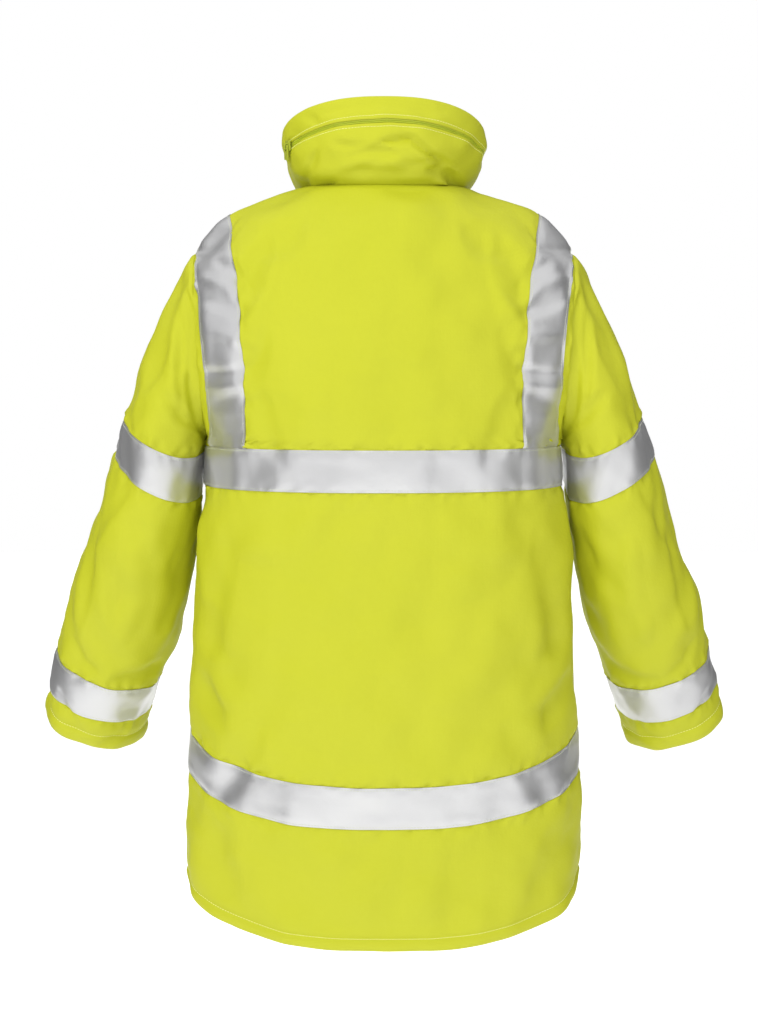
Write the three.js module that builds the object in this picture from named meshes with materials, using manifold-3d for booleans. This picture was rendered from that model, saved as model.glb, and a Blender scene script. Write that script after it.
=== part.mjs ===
import * as THREE from "three";
import { mergeVertices } from "three/addons/utils/BufferGeometryUtils.js";
import Module from "manifold-3d";

// A padded high-visibility parka, filled out as worn and empty inside. Millimetres, +Z up.
// The front faces -Y and the wearer's left is +X. The origin is the middle of the neck opening,
// at the height of the neck seam at the centre back.

// Cloth, seams and trims.
const CLOTH = 3;
const SEAM = 0.3;
const TAPE = 1;
const TAPE_LIFT = 0.35;
const LOOSE_TAPE_LIFT = 1;
const TAPE_WIDTH = 50;

// Zips: the cloth edges stand back from the chain, which lies on a strip behind them.
const ZIP_GAP = 4.5;
const CHAIN_HALF_WIDTH = 2.8;
const CHAIN_SPAN = { low: -3.6, high: -0.4 };
const STRIP_HALF_WIDTH = 12;
const STRIP_SPAN = { low: -4.9, high: -3.9 };
const FRONT_ZIP = { foot: 944, collarRuns: [0, 9, 24, 42, 59, 76, 92, 100], sliderRun: 90 };

// Sections of the body, from the neck seam down. The run follows the shoulder seam, then the side.
const BODY = table(
  "run sideZ backZ frontZ halfWidth backDepth frontDepth squareness",
  [0, 9, 0, -46, 105, 75, 84, 2], // neck seam
  [47, -5, -20, -64, 141, 97, 97, 1.8], // slope of the shoulder
  [92, -23, -42, -82, 188, 111, 107, 1.7],
  [125, -42, -63, -98, 213, 119, 114, 1.75],
  [155, -70, -90, -118, 235, 126, 121, 1.85], // shoulder tip, top of the armhole
  [180, -96, -113, -138, 234.5, 131, 126, 1.93],
  [235, -152, -163, -183, 229, 142, 137, 2.1], // shoulder blades
  [320, -237, -245, -250, 224, 149, 144, 2.35],
  [389, -306, -313, -312, 221, 151, 148, 2.45], // armpit
  [446, -362, -369, -368, 222, 151, 150, 2.5], // foot of the chest band
  [500, -413, -433, -424, 232, 151, 151, 2.5],
  [600, -507, -545, -522, 239, 150, 153, 2.45],
  [750, -665, -716, -675, 244, 148, 155, 2.4], // top of the lower band
  [800, -714, -766, -725, 246, 148, 156, 2.4],
  [950, -860, -911, -884, 250, 148, 158, 2.35], // hem
);
const ARMHOLE = { top: 155, bottom: 389, back: 88, front: 84 };
const CHEST_BAND = { top: 396, bottom: 446 };
const HEM_BAND = { top: 750, bottom: 800 };
const HEM = 950;

// Sections of the collar, from the neck seam up its centre back.
const COLLAR = table(
  "run sideZ backZ frontZ halfWidth backDepth frontDepth squareness",
  [0, 9, 0, -46, 105, 75, 84, 2], // neck seam
  [12, 19, 9, -36, 113, 85, 94, 2.05],
  [40, 33, 36, -14, 121, 95, 102, 2.1],
  [76, 47, 71, 13, 126, 98, 106, 2.1], // zip of the hood pocket
  [92, 60, 87, 26, 128, 96, 106, 2.2],
  [108, 77, 102, 42, 126, 92, 103, 2.35], // top edge
);
const COLLAR_TOP = 108;
const COLLAR_ZIP = { run: 76, from: 0.757, to: -1, fade: 0.2, halfGap: 3.6 };
const HOOD_POCKET = { back: 11, front: 3, edge: 0.9, frontGap: 14 };
const COLLAR_ROWS = {
  lower: [0, 0.12, 0.32, 0.56, 0.78, 1],
  upper: [0, 0.5, 1],
  inner: [0, 0.12, 0.32, 0.55, 0.78, 1],
};

// How a section rises from its sides to its middle.
const DIP_POWER = 1.5;

// Sections of the left sleeve, from the foot of its upper band to the cuff. Each one leans out
// and forward from level by the two angles, in degrees.
const SLEEVE = table(
  "run x y z out forward halfWidth halfDepth squareness",
  [0, 284, -8, -345, 28, 15, 61, 92, 2.2],
  [90, 304, -20, -426, 16, 17, 66, 86, 2.2],
  [180, 331, -38, -516, 18, 19, 73, 75, 2.1], // elbow
  [262, 361, -60, -596, 19, 21, 70.5, 65, 2.05], // top of the cuff band
  [312, 376, -74, -641, 20, 22, 68, 60, 2.05],
  [355, 390, -86, -683, 21, 22, 67, 56, 2], // cuff
);
const CUFF_BAND = { top: 262, bottom: 312 };
const CUFF = 355;
const SLEEVE_HEAD = { topAngle: 50, bottomAngle: 46, startPull: 0.62, endPull: 0.9 };
const SLEEVE_BAND = { slant: 1.02, highest: 0.3 };

// The shoulder bands run down from the shoulder seam to the chest band. Each row is the distance
// of an edge from the middle at that run of the body.
const BACK_BAND = table(
  "run inner outer",
  [150, 182, 230],
  [200, 174, 223.5],
  [280, 168, 217.5],
  [393, 164, 212],
);
const FRONT_BAND = table(
  "run inner outer",
  [150, 179, 229],
  [200, 171, 220],
  [280, 164, 211],
  [393, 160, 207],
);
const BAND_SEAM_RUNS = { inner: 95, outer: 151 };
const BAND_EASE = 80;
const BAND_CLEAR = 0.5;

// The deepest creases of the left sleeve, each a soft trough between two points near the cloth.
const CREASES = [
  { from: [246, 84, -130], to: [243, 96, -215], width: 17, depth: 5 },
  { from: [262, 70, -262], to: [318, 74, -282], width: 20, depth: 3 },
  { from: [262, -75, -480], to: [330, -112, -520], width: 24, depth: 4 },
  { from: [272, -68, -535], to: [340, -112, -560], width: 18, depth: 3 },
];

// The slider, with the bridge that its pull hangs on, and the pull. Lengths run along the zip.
const SLIDER = { halfWidth: 4.2, halfLength: 6.5, thick: 2.6, lift: 0.5, corner: 2.5 };
const BRIDGE = { halfLength: 3.4, halfWidth: 1.2, height: 4.7, bar: 1.3, room: 2.1, sunk: 0.5 };
const PULL = { halfWidth: 4, thick: 1.6, height: 1.7, corner: 1, crossPiece: 1.1 };
const PULL_HOLE = { halfWidth: 2.1, length: 5.5, corner: 0.6 };
const PULL_LENGTH = { collar: 17, front: 32 };
const PULL_LEAN = 0.35;

// How finely each piece is divided.
const COLUMNS = { back: 20, front: 10, sleeve: 24, shoulderBand: 4 };
const FINE = 80;
const HEAD_ROWS = 5;
const SLEEVE_RUNS = [34, 68, 102, 136, 170, 204, 233, CUFF_BAND.top, CUFF_BAND.bottom, CUFF];
const TIP_ROWS = [0, 0.02, 0.07, 0.16, 0.3, 0.5, 0.75];

const material = (color, roughness, metalness) =>
  new THREE.MeshStandardMaterial({ color, roughness, metalness });
const CLOTH_YELLOW = material(0xd6dd3c, 0.75, 0);
const TAPE_SILVER = material(0xd2d2d2, 0.4, 0.5);
const ZIP_YELLOW = material(0xb9c23a, 0.6, 0);
const METAL = material(0x8d9060, 0.35, 0.9);

// A smooth curve through values at rising places.
function spline(places, values) {
  const slopes = places.slice(1).map((p, i) => (values[i + 1] - values[i]) / (p - places[i]));
  const tangents = places.map((p, i) => {
    if (i === 0 || i === places.length - 1) return NaN;
    const before = p - places[i - 1];
    const after = places[i + 1] - p;
    return (slopes[i - 1] * after + slopes[i] * before) / (before + after);
  });
  const last = places.length - 1;
  tangents[0] = 1.5 * slopes[0] - 0.5 * tangents[1];
  tangents[last] = 1.5 * slopes[last - 1] - 0.5 * tangents[last - 1];
  return (place) => {
    const p = Math.min(Math.max(place, places[0]), places[last]);
    let i = 0;
    while (i < last - 1 && p > places[i + 1]) i++;
    const step = places[i + 1] - places[i];
    const t = (p - places[i]) / step;
    const u = 1 - t;
    return (
      values[i] * u * u * (1 + 2 * t) +
      values[i + 1] * t * t * (3 - 2 * t) +
      tangents[i] * step * t * u * u -
      tangents[i + 1] * step * t * t * u
    );
  };
}

// Columns named in one string, each made a smooth function of the first.
function table(names, ...rows) {
  const places = rows.map((row) => row[0]);
  const columns = names.split(" ").slice(1);
  return Object.fromEntries(
    columns.map((name, i) => [name, spline(places, rows.map((row) => row[i + 1]))]),
  );
}

const steps = (from, to, count) =>
  Array.from({ length: count + 1 }, (_, i) => from + ((to - from) * i) / count);
const smooth = (t) => {
  const u = Math.min(Math.max(t, 0), 1);
  return u * u * (3 - 2 * u);
};

// Columns of the shell, closer together towards the sides, where it is round.
const backColumns = () =>
  steps(1, -1, COLUMNS.back).map((share) => (share + Math.sin((share * Math.PI) / 2)) / 2);
const frontColumns = (end) =>
  steps(0, 1, COLUMNS.front).map((share) => {
    const eased = (share + 1 - Math.cos((share * Math.PI) / 2)) / 2;
    return 1 + (end - 1) * eased;
  });

// How far around the armhole a run lies: 0 at the shoulder tip, pi at the armpit.
function armholeAngle(run) {
  const share = (run - ARMHOLE.top) / (ARMHOLE.bottom - ARMHOLE.top);
  return Math.acos(Math.min(Math.max(1 - 2 * share, -1), 1));
}
const armholeRun = (angle) =>
  ARMHOLE.top + ((ARMHOLE.bottom - ARMHOLE.top) * (1 - Math.cos(angle))) / 2;

// Half of a section, from the middle of the back or front to its edge at the side or armhole.
const halves = new Map();
function halfSection(sections, run, back) {
  const key = [sections === BODY, run, back].join();
  if (halves.has(key)) return halves.get(key);
  const depth = back ? sections.backDepth(run) : sections.frontDepth(run);
  const middleZ = back ? sections.backZ(run) : sections.frontZ(run);
  const sideZ = sections.sideZ(run);
  const power = sections.squareness(run);
  const opening = sections === BODY ? Math.sin(armholeAngle(run)) : 0;
  const cut = opening * (back ? ARMHOLE.back : ARMHOLE.front);
  const reach = sections.halfWidth(run) / (1 - (cut / depth) ** power) ** (1 / power);
  const edge = Math.acos((sections.halfWidth(run) / reach) ** (power / 2));
  const points = steps(Math.PI / 2, edge, FINE).map((angle) => {
    const x = reach * Math.max(Math.cos(angle), 0) ** (2 / power);
    const y = depth * Math.max(Math.sin(angle), 0) ** (2 / power);
    const z = sideZ + (middleZ - sideZ) * (y / depth) ** DIP_POWER;
    return new THREE.Vector3(x, back ? y : -y, z);
  });
  const lengths = [0];
  for (let i = 1; i <= FINE; i++) {
    lengths.push(lengths[i - 1] + points[i].distanceTo(points[i - 1]));
  }
  const half = { points, lengths, total: lengths[FINE] };
  halves.set(key, half);
  return half;
}

// A point of the shell. The turn is 0 at the centre back, 1 at a side and 2 at the centre front,
// by the cloth's own length in each half, and is negative on the wearer's right.
function shellPoint(sections, run, turn) {
  const back = Math.abs(turn) <= 1;
  const half = halfSection(sections, run, back);
  const wanted = (back ? Math.abs(turn) : 2 - Math.abs(turn)) * half.total;
  let i = 0;
  while (i < FINE - 1 && wanted > half.lengths[i + 1]) i++;
  const t = (wanted - half.lengths[i]) / (half.lengths[i + 1] - half.lengths[i]);
  const point = half.points[i].clone().lerp(half.points[i + 1], t);
  if (turn < 0) point.x = -point.x;
  return point;
}

// The turn at which a section is a given distance from the middle.
function turnAt(sections, run, distance, back) {
  const half = halfSection(sections, run, back);
  let i = 0;
  while (i < FINE - 1 && distance > half.points[i + 1].x) i++;
  const [a, b] = [half.points[i].x, half.points[i + 1].x];
  const t = Math.min((distance - a) / (b - a), 1);
  const share = (half.lengths[i] + t * (half.lengths[i + 1] - half.lengths[i])) / half.total;
  return back ? share : 2 - share;
}

// Where a section of the body ends, at the side or the left armhole.
const sectionEdge = (run, back) => halfSection(BODY, run, back).points[FINE].clone();

// The armhole, and the left sleeve's sections. The angle is 0 at the top or outside, and turns
// over the back to pi underneath.
function armholePoint(angle) {
  const back = angle <= Math.PI;
  return sectionEdge(armholeRun(back ? angle : 2 * Math.PI - angle), back);
}

function sleeveFrame(run) {
  const out = THREE.MathUtils.degToRad(SLEEVE.out(run));
  const forward = THREE.MathUtils.degToRad(SLEEVE.forward(run));
  const along = new THREE.Vector3(
    Math.sin(out) * Math.cos(forward),
    -Math.sin(forward),
    -Math.cos(out) * Math.cos(forward),
  );
  const outward = new THREE.Vector3(1, 0, 0).addScaledVector(along, -along.x).normalize();
  const backward = outward.clone().cross(along);
  const centre = new THREE.Vector3(SLEEVE.x(run), SLEEVE.y(run), SLEEVE.z(run));
  return { along, outward, backward, centre };
}

function sleeveSection(run, angle) {
  const { outward, backward, centre } = sleeveFrame(run);
  const power = 2 / SLEEVE.squareness(run);
  const c = Math.cos(angle);
  const s = Math.sin(angle);
  return centre
    .clone()
    .addScaledVector(outward, SLEEVE.halfWidth(run) * Math.sign(c) * Math.abs(c) ** power)
    .addScaledVector(backward, SLEEVE.halfDepth(run) * Math.sign(s) * Math.abs(s) ** power);
}

// The sleeve head: a smooth surface from the armhole (share 0) to the first section (share 1).
function sleeveHead(share, angle) {
  const start = armholePoint(angle);
  start.x += SEAM / 2;
  const end = sleeveSection(0, angle);
  const span = start.distanceTo(end);
  const top = (1 + Math.cos(angle)) / 2;
  const { topAngle, bottomAngle, startPull, endPull } = SLEEVE_HEAD;
  const steep = THREE.MathUtils.degToRad(bottomAngle + (topAngle - bottomAngle) * top);
  const leave = new THREE.Vector3(Math.cos(steep), 0, -Math.sin(steep));
  leave.multiplyScalar(startPull * span);
  const arrive = sleeveSection(1, angle).sub(end).normalize().multiplyScalar(endPull * span);
  const t = share;
  const u = 1 - t;
  return start
    .multiplyScalar(u * u * (1 + 2 * t))
    .addScaledVector(end, t * t * (3 - 2 * t))
    .addScaledVector(leave, t * u * u)
    .addScaledVector(arrive, -t * t * u);
}

// The share of the sleeve head at which the upper band starts, a tape's width from its end.
function bandShare(angle) {
  const span = armholePoint(angle).distanceTo(sleeveSection(0, angle));
  return Math.max(1 - (SLEEVE_BAND.slant * TAPE_WIDTH) / span, SLEEVE_BAND.highest);
}

// The outward directions of a grid of points, from its neighbours.
function directions(grid, closed) {
  const columns = grid[0].length;
  const wrap = (j) => (closed ? (j + columns) % columns : Math.min(Math.max(j, 0), columns - 1));
  const stop = (i) => Math.min(Math.max(i, 0), grid.length - 1);
  let outward = 0;
  const found = grid.map((line, i) => {
    const middle = line.reduce((sum, p) => sum.add(p), new THREE.Vector3()).divideScalar(columns);
    return line.map((p, j) => {
      const across = line[wrap(j + 1)].clone().sub(line[wrap(j - 1)]);
      const along = grid[stop(i + 1)][j].clone().sub(grid[stop(i - 1)][j]);
      const direction = across.cross(along).normalize();
      outward += direction.dot(p.clone().sub(middle));
      return direction;
    });
  });
  if (outward < 0) found.flat().forEach((direction) => direction.negate());
  return found;
}

// Moves each point along its direction by the distance given for its row and column, or by one
// distance for all.
const displaced = (grid, along, distanceAt) =>
  grid.map((line, i) => line.map((p, j) => p.clone().addScaledVector(along[i][j], distanceAt(i, j))));
const moved = (grid, along, distance) => displaced(grid, along, () => distance);

// Presses the creases into a grid of the left sleeve.
function creased(grid, closed) {
  const along = directions(grid, closed);
  const pressed = (p) =>
    CREASES.reduce((sum, { from, to, width, depth }) => {
      const line = new THREE.Line3(new THREE.Vector3(...from), new THREE.Vector3(...to));
      const near = line.closestPointToPoint(p, true, new THREE.Vector3());
      const far = Math.min(near.distanceTo(p) / width, 1);
      return sum + depth * (1 - far * far) ** 2;
    }, 0);
  return displaced(grid, along, (i, j) => -pressed(grid[i][j]));
}

const mirrored = (grid) => grid.map((line) => line.map((p) => new THREE.Vector3(-p.x, p.y, p.z)));

// Six times the signed volume of an indexed closed surface.
function windingSum(points, index) {
  let sum = 0;
  for (let i = 0; i < index.length; i += 3) {
    const [a, b, c] = [points[index[i]], points[index[i + 1]], points[index[i + 2]]];
    sum += a.dot(b.clone().cross(c));
  }
  return sum;
}

// A closed wall between two grids of the same size, each square split on its shorter diagonal.
// Diagonals closer in length than LEVEL count as equal. A closed grid joins its last column to
// its first.
const LEVEL = 0.01;
function wall(name, material, outer, inner, closed = false) {
  const rows = outer.length;
  const columns = outer[0].length;
  const outside = (i, j) => i * columns + (j % columns);
  const inside = (i, j) => rows * columns + outside(i, j);
  const index = [];
  const quad = (a, b, c, d) => index.push(a, b, c, a, c, d);
  const longer = (i, j) => {
    const next = (j + 1) % columns;
    const falling = outer[i][j].distanceTo(outer[i + 1][next]);
    return falling > outer[i][next].distanceTo(outer[i + 1][j]) + LEVEL;
  };
  const strips = closed ? columns : columns - 1;
  const foot = rows - 1;
  for (let j = 0; j < strips; j++) {
    for (let i = 0; i < foot; i++) {
      const around = [[i, j], [i, j + 1], [i + 1, j + 1], [i + 1, j]];
      if (longer(i, j)) around.push(around.shift());
      quad(...around.map(([row, column]) => outside(row, column)));
      around.reverse().unshift(around.pop());
      quad(...around.map(([row, column]) => inside(row, column)));
    }
    quad(outside(0, j), inside(0, j), inside(0, j + 1), outside(0, j + 1));
    quad(outside(foot, j), outside(foot, j + 1), inside(foot, j + 1), inside(foot, j));
  }
  for (let i = 0; !closed && i < foot; i++) {
    quad(outside(i, 0), outside(i + 1, 0), inside(i + 1, 0), inside(i, 0));
    quad(outside(i + 1, strips), outside(i, strips), inside(i, strips), inside(i + 1, strips));
  }
  const points = [...outer.flat(), ...inner.flat()];
  if (windingSum(points, index) < 0) index.reverse();
  const geometry = new THREE.BufferGeometry().setFromPoints(points);
  geometry.setIndex(index);
  geometry.computeVertexNormals();
  const mesh = new THREE.Mesh(geometry, material);
  mesh.name = name;
  return mesh;
}

// A strip along a grid, between two distances from it.
function strip(name, material, grid, { low, high }) {
  const along = directions(grid, false);
  return wall(name, material, moved(grid, along, high), moved(grid, along, low));
}

// Body panels. Their edges stand half a seam back from the side seam or the armhole.
const bodyRuns = [
  ...[0, 14, 32, 56, 80, 104, 130],
  ...steps(0, Math.PI, COLUMNS.sleeve / 2).map(armholeRun),
  ...[CHEST_BAND.top, CHEST_BAND.bottom, 500, 560, 625, 690],
  ...[HEM_BAND.top, HEM_BAND.bottom, 850, 900, HEM],
];
const frontTurns = (run) => frontColumns(turnAt(BODY, run, ZIP_GAP, false));

function bodyGrid(runs, turnsAt, front) {
  return runs.map((run) =>
    turnsAt(run).map((turn) => {
      if (Math.abs(turn) !== 1) return shellPoint(BODY, run, turn);
      const edge = sectionEdge(run, !front);
      if (run >= ARMHOLE.top && run <= ARMHOLE.bottom) edge.x -= SEAM / 2;
      if (Math.abs(edge.y) < SEAM) edge.y = ((front ? -1 : 1) * SEAM) / 2;
      edge.x *= turn;
      return edge;
    }),
  );
}

// The direction shared by two pieces at an armhole, shoulder or side seam, and at the neck seam.
function seamDirection(run, side, front) {
  if (run >= ARMHOLE.top && run <= ARMHOLE.bottom) {
    const angle = armholeAngle(run);
    return new THREE.Vector3(0, (front ? -1 : 1) * Math.sin(angle), Math.cos(angle));
  }
  const rise = BODY.sideZ(run + 1) - BODY.sideZ(run - 1);
  const spread = BODY.halfWidth(run + 1) - BODY.halfWidth(run - 1);
  return new THREE.Vector3(-side * rise, 0, spread).normalize();
}
const neckDirection = (point) => new THREE.Vector3(point.x, point.y, 0).normalize();

function bodyDirections(grid, runs, front) {
  const along = directions(grid, false);
  runs.forEach((run, i) => {
    const last = grid[i].length - 1;
    along[i][0] = seamDirection(run, 1, front);
    if (!front) along[i][last] = seamDirection(run, -1, front);
    if (run === 0) along[i] = grid[i].map(neckDirection);
  });
  return along;
}

// A piece of the body between two distances from its cloth, and its mirror image where it has one.
function bodyPiece(names, material, runs, front, high, low) {
  const grid = bodyGrid(runs, front ? frontTurns : backColumns, front);
  const along = bodyDirections(grid, runs, front);
  const outer = moved(grid, along, high);
  const inner = moved(grid, along, low);
  const [name, mirrorName] = names;
  const piece = wall(name, material, outer, inner);
  return mirrorName ? [piece, wall(mirrorName, material, mirrored(outer), mirrored(inner))] : [piece];
}

function bodyBands(name, band) {
  const runs = [band.top, band.bottom];
  const fronts = [name + "_front_left", name + "_front_right"];
  const span = [TAPE_LIFT + TAPE, TAPE_LIFT];
  return [
    ...bodyPiece([name + "_back"], TAPE_SILVER, runs, false, ...span),
    ...bodyPiece(fronts, TAPE_SILVER, runs, true, ...span),
  ];
}

// A band from the shoulder seam down to the chest band, beside the armhole. Below the shoulder tip
// its rows are the panel's own.
function shoulderBands(name, edges, front) {
  const foot = CHEST_BAND.top - 2 * SEAM;
  const panelRows = bodyRuns.filter((run) => run > ARMHOLE.top && run < ARMHOLE.bottom);
  const shares = steps(0, 1, COLUMNS.shoulderBand);
  const between = THREE.MathUtils.lerp;
  const starts = shares.map((share) => between(BAND_SEAM_RUNS.inner, BAND_SEAM_RUNS.outer, share));
  const point = (run, j) => {
    const edge = sectionEdge(run, !front);
    if (run === starts[j]) return edge.setY(((front ? -1 : 1) * SEAM) / 2);
    const above = BODY.halfWidth(starts[j]);
    const below = between(edges.inner(run), edges.outer(run), shares[j]);
    const distance = between(above, below, smooth((run - starts[j]) / BAND_EASE));
    const clear = Math.min(distance, edge.x - BAND_CLEAR);
    return shellPoint(BODY, run, turnAt(BODY, run, clear, !front));
  };
  const tip = TIP_ROWS.map((share) =>
    starts.map((start, j) => point(between(start, panelRows[0], share), j)),
  );
  const rest = [...panelRows, foot].map((run) => starts.map((_, j) => point(run, j)));
  const grid = [...tip, ...rest];
  const along = directions(grid, false);
  along[0] = starts.map((start) => seamDirection(start, 1, front));
  const outer = moved(grid, along, LOOSE_TAPE_LIFT + TAPE);
  const inner = moved(grid, along, LOOSE_TAPE_LIFT);
  return [
    wall(name + "_left", TAPE_SILVER, outer, inner),
    wall(name + "_right", TAPE_SILVER, mirrored(outer), mirrored(inner)),
  ];
}

// Sleeves: rows down the head to the upper band, across the band, and on down to the cuff.
const angles = steps(0, 2 * Math.PI, COLUMNS.sleeve).slice(0, -1);
const headRow = (step) =>
  angles.map((angle) => {
    const start = bandShare(angle);
    return sleeveHead(step <= HEAD_ROWS ? (start * step) / HEAD_ROWS : 1, angle);
  });

function sleeves() {
  const head = steps(0, HEAD_ROWS + 1, HEAD_ROWS + 1).map(headRow);
  const arm = SLEEVE_RUNS.map((run) => angles.map((angle) => sleeveSection(run, angle)));
  const grid = creased([...head, ...arm], true);
  const along = directions(grid, true);
  along[0] = angles.map((angle) => new THREE.Vector3(0, Math.sin(angle), Math.cos(angle)));
  const cuffStart = head.length + SLEEVE_RUNS.indexOf(CUFF_BAND.top);
  const pieces = [
    ["sleeve", CLOTH_YELLOW, 0, grid.length, 0, -CLOTH],
    ["sleeve_band", TAPE_SILVER, HEAD_ROWS, HEAD_ROWS + 2, TAPE_LIFT + TAPE, TAPE_LIFT],
    ["cuff_band", TAPE_SILVER, cuffStart, cuffStart + 2, TAPE_LIFT + TAPE, TAPE_LIFT],
  ];
  return pieces.flatMap(([name, material, from, to, high, low]) => {
    const outer = moved(grid, along, high).slice(from, to);
    const inner = moved(grid, along, low).slice(from, to);
    return [
      wall(name + "_left", material, outer, inner, true),
      wall(name + "_right", material, mirrored(outer), mirrored(inner), true),
    ];
  });
}

// Collar: an outer wall below the zip, one above it, and an inner wall, with room for a hood between.
function collarTurns(run, gap) {
  const start = turnAt(COLLAR, run, gap, false);
  return [
    ...frontColumns(start).reverse(),
    ...backColumns().slice(1),
    ...frontColumns(start).slice(1).map((turn) => -turn),
  ];
}

// A grid of the collar between two edges at the front. Its rows are shares of the way from one run
// to another, either of which may change along the row.
function collarGrid(shares, fromRun, toRun, gap) {
  return shares.map((share) => {
    const level = THREE.MathUtils.lerp(fromRun(0), toRun(0), share);
    return collarTurns(level, gap).map((turn) => {
      const run = THREE.MathUtils.lerp(fromRun(turn), toRun(turn), share);
      const point = shellPoint(COLLAR, run, turn);
      if (run === 0) point.z += SEAM;
      return point;
    });
  });
}
const zipHalfGap = (turn) => {
  const outside = Math.max(turn - COLLAR_ZIP.from, COLLAR_ZIP.to - turn, 0);
  return SEAM / 2 + COLLAR_ZIP.halfGap * (1 - smooth(outside / COLLAR_ZIP.fade));
};

function collar() {
  const seam = () => 0;
  const top = () => COLLAR_TOP;
  const zipLow = (turn) => COLLAR_ZIP.run - zipHalfGap(turn);
  const zipHigh = (turn) => COLLAR_ZIP.run + zipHalfGap(turn);
  const alongZip = directions(collarGrid([0, 0.5, 1], zipLow, zipHigh, ZIP_GAP), false)[1];
  const lower = collarGrid(COLLAR_ROWS.lower, seam, zipLow, ZIP_GAP);
  const lowerAlong = directions(lower, false);
  lowerAlong[0] = lower[0].map(neckDirection);
  lowerAlong[lower.length - 1] = alongZip;
  const upper = collarGrid(COLLAR_ROWS.upper, zipHigh, top, ZIP_GAP);
  const upperAlong = directions(upper, false);
  upperAlong[0] = alongZip;
  const { back, front, edge, frontGap } = HOOD_POCKET;
  const inner = collarGrid(COLLAR_ROWS.inner, seam, top, frontGap);
  const innerAlong = directions(inner, false);
  innerAlong[0] = inner[0].map(neckDirection);
  const turns = collarTurns(0, frontGap);
  const depth = (i, j) => {
    const room = back + (front - back) * smooth(2 * (Math.abs(turns[j]) - 1));
    return CLOTH + edge + room * Math.sin(Math.PI * COLLAR_ROWS.inner[i]);
  };
  return [
    wall("collar_lower", CLOTH_YELLOW, lower, moved(lower, lowerAlong, -CLOTH)),
    wall("collar_upper", CLOTH_YELLOW, upper, moved(upper, upperAlong, -CLOTH)),
    wall(
      "collar_inner",
      CLOTH_YELLOW,
      displaced(inner, innerAlong, (i, j) => -depth(i, j)),
      displaced(inner, innerAlong, (i, j) => -depth(i, j) - CLOTH),
    ),
  ];
}

// Zips: a strip of cloth behind the opening, the chain on it, and a slider with its pull.
function zipPieces(prefix, gridOf) {
  return [
    strip(prefix + "_zip_strip", CLOTH_YELLOW, gridOf(STRIP_HALF_WIDTH, 2), STRIP_SPAN),
    strip(prefix + "_zip_chain", ZIP_YELLOW, gridOf(CHAIN_HALF_WIDTH, 1), CHAIN_SPAN),
  ];
}

function collarZip() {
  const { run, from, to } = COLLAR_ZIP;
  const between = collarTurns(run, ZIP_GAP).filter((turn) => turn < from && turn > to);
  const turns = [from, ...between, to];
  return zipPieces("collar", (halfWidth, parts) =>
    steps(-halfWidth, halfWidth, parts).map((aside) =>
      turns.map((turn) => shellPoint(COLLAR, run + aside, turn)),
    ),
  );
}

function frontZip() {
  const bodyPath = bodyRuns.slice(1).reverse().map((run) => [BODY, Math.min(run, FRONT_ZIP.foot)]);
  const path = [...bodyPath, ...FRONT_ZIP.collarRuns.map((run) => [COLLAR, run])];
  return zipPieces("front", (halfWidth, parts) =>
    path.map(([sections, run]) =>
      steps(-halfWidth, halfWidth, parts).map((x) => {
        const turn = turnAt(sections, run, Math.abs(x), false);
        return shellPoint(sections, run, x < 0 ? -turn : turn);
      }),
    ),
  );
}

// Slider and pull in their own frame: X across the zip, -Y the way that the pull hangs, Z outward.
const wasm = await Module();
wasm.setup();

function solid(geometry) {
  const bare = geometry.clone();
  bare.deleteAttribute("normal");
  bare.deleteAttribute("uv");
  const merged = mergeVertices(bare);
  const vertProperties = merged.attributes.position.array;
  return new wasm.Manifold(new wasm.Mesh({ numProp: 3, vertProperties, triVerts: merged.index.array }));
}

function joined(geometries) {
  const mesh = geometries.map(solid).reduce((a, b) => a.add(b)).getMesh();
  const geometry = new THREE.BufferGeometry();
  geometry.setAttribute("position", new THREE.BufferAttribute(mesh.vertProperties, 3));
  geometry.setIndex(new THREE.BufferAttribute(mesh.triVerts, 1));
  return geometry;
}

function roundedOutline(left, right, low, high, radius) {
  const shape = new THREE.Shape();
  shape.moveTo(left + radius, low);
  shape.absarc(right - radius, low + radius, radius, -Math.PI / 2, 0);
  shape.absarc(right - radius, high - radius, radius, 0, Math.PI / 2);
  shape.absarc(left + radius, high - radius, radius, Math.PI / 2, Math.PI);
  shape.absarc(left + radius, low + radius, radius, Math.PI, 1.5 * Math.PI);
  return shape;
}
const extruded = (shape, depth) =>
  new THREE.ExtrudeGeometry(shape, { depth, bevelEnabled: false, curveSegments: 2 });

// A base plate and, standing on it, the bridge that the pull hangs on.
function slider(name) {
  const { halfWidth, halfLength, thick, corner } = SLIDER;
  const plate = extruded(roundedOutline(-halfWidth, halfWidth, -halfLength, halfLength, corner), thick);
  plate.translate(0, 0, -thick);
  const { height, bar, room, sunk } = BRIDGE;
  const arch = roundedOutline(-BRIDGE.halfLength, BRIDGE.halfLength, -sunk, height, bar / 3);
  arch.holes.push(roundedOutline(-room, room, 0, height - bar, bar / 4));
  const loop = extruded(arch, 2 * BRIDGE.halfWidth).translate(0, 0, -BRIDGE.halfWidth);
  loop.rotateX(Math.PI / 2).rotateZ(Math.PI / 2);
  const mesh = new THREE.Mesh(joined([plate, loop]), METAL);
  mesh.name = name;
  return mesh;
}

// A flat tab whose cross-piece passes under the bridge.
function pull(name, length) {
  const { halfWidth, thick, height, corner, crossPiece } = PULL;
  const { halfWidth: side, length: opening, corner: bend } = PULL_HOLE;
  const outline = roundedOutline(-halfWidth, halfWidth, -length, crossPiece, corner);
  outline.holes.push(roundedOutline(-side, side, -crossPiece - opening, -crossPiece, bend));
  const geometry = extruded(outline, thick).translate(0, 0, height - thick / 2);
  const mesh = new THREE.Mesh(geometry, METAL);
  mesh.name = name;
  return mesh;
}

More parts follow.
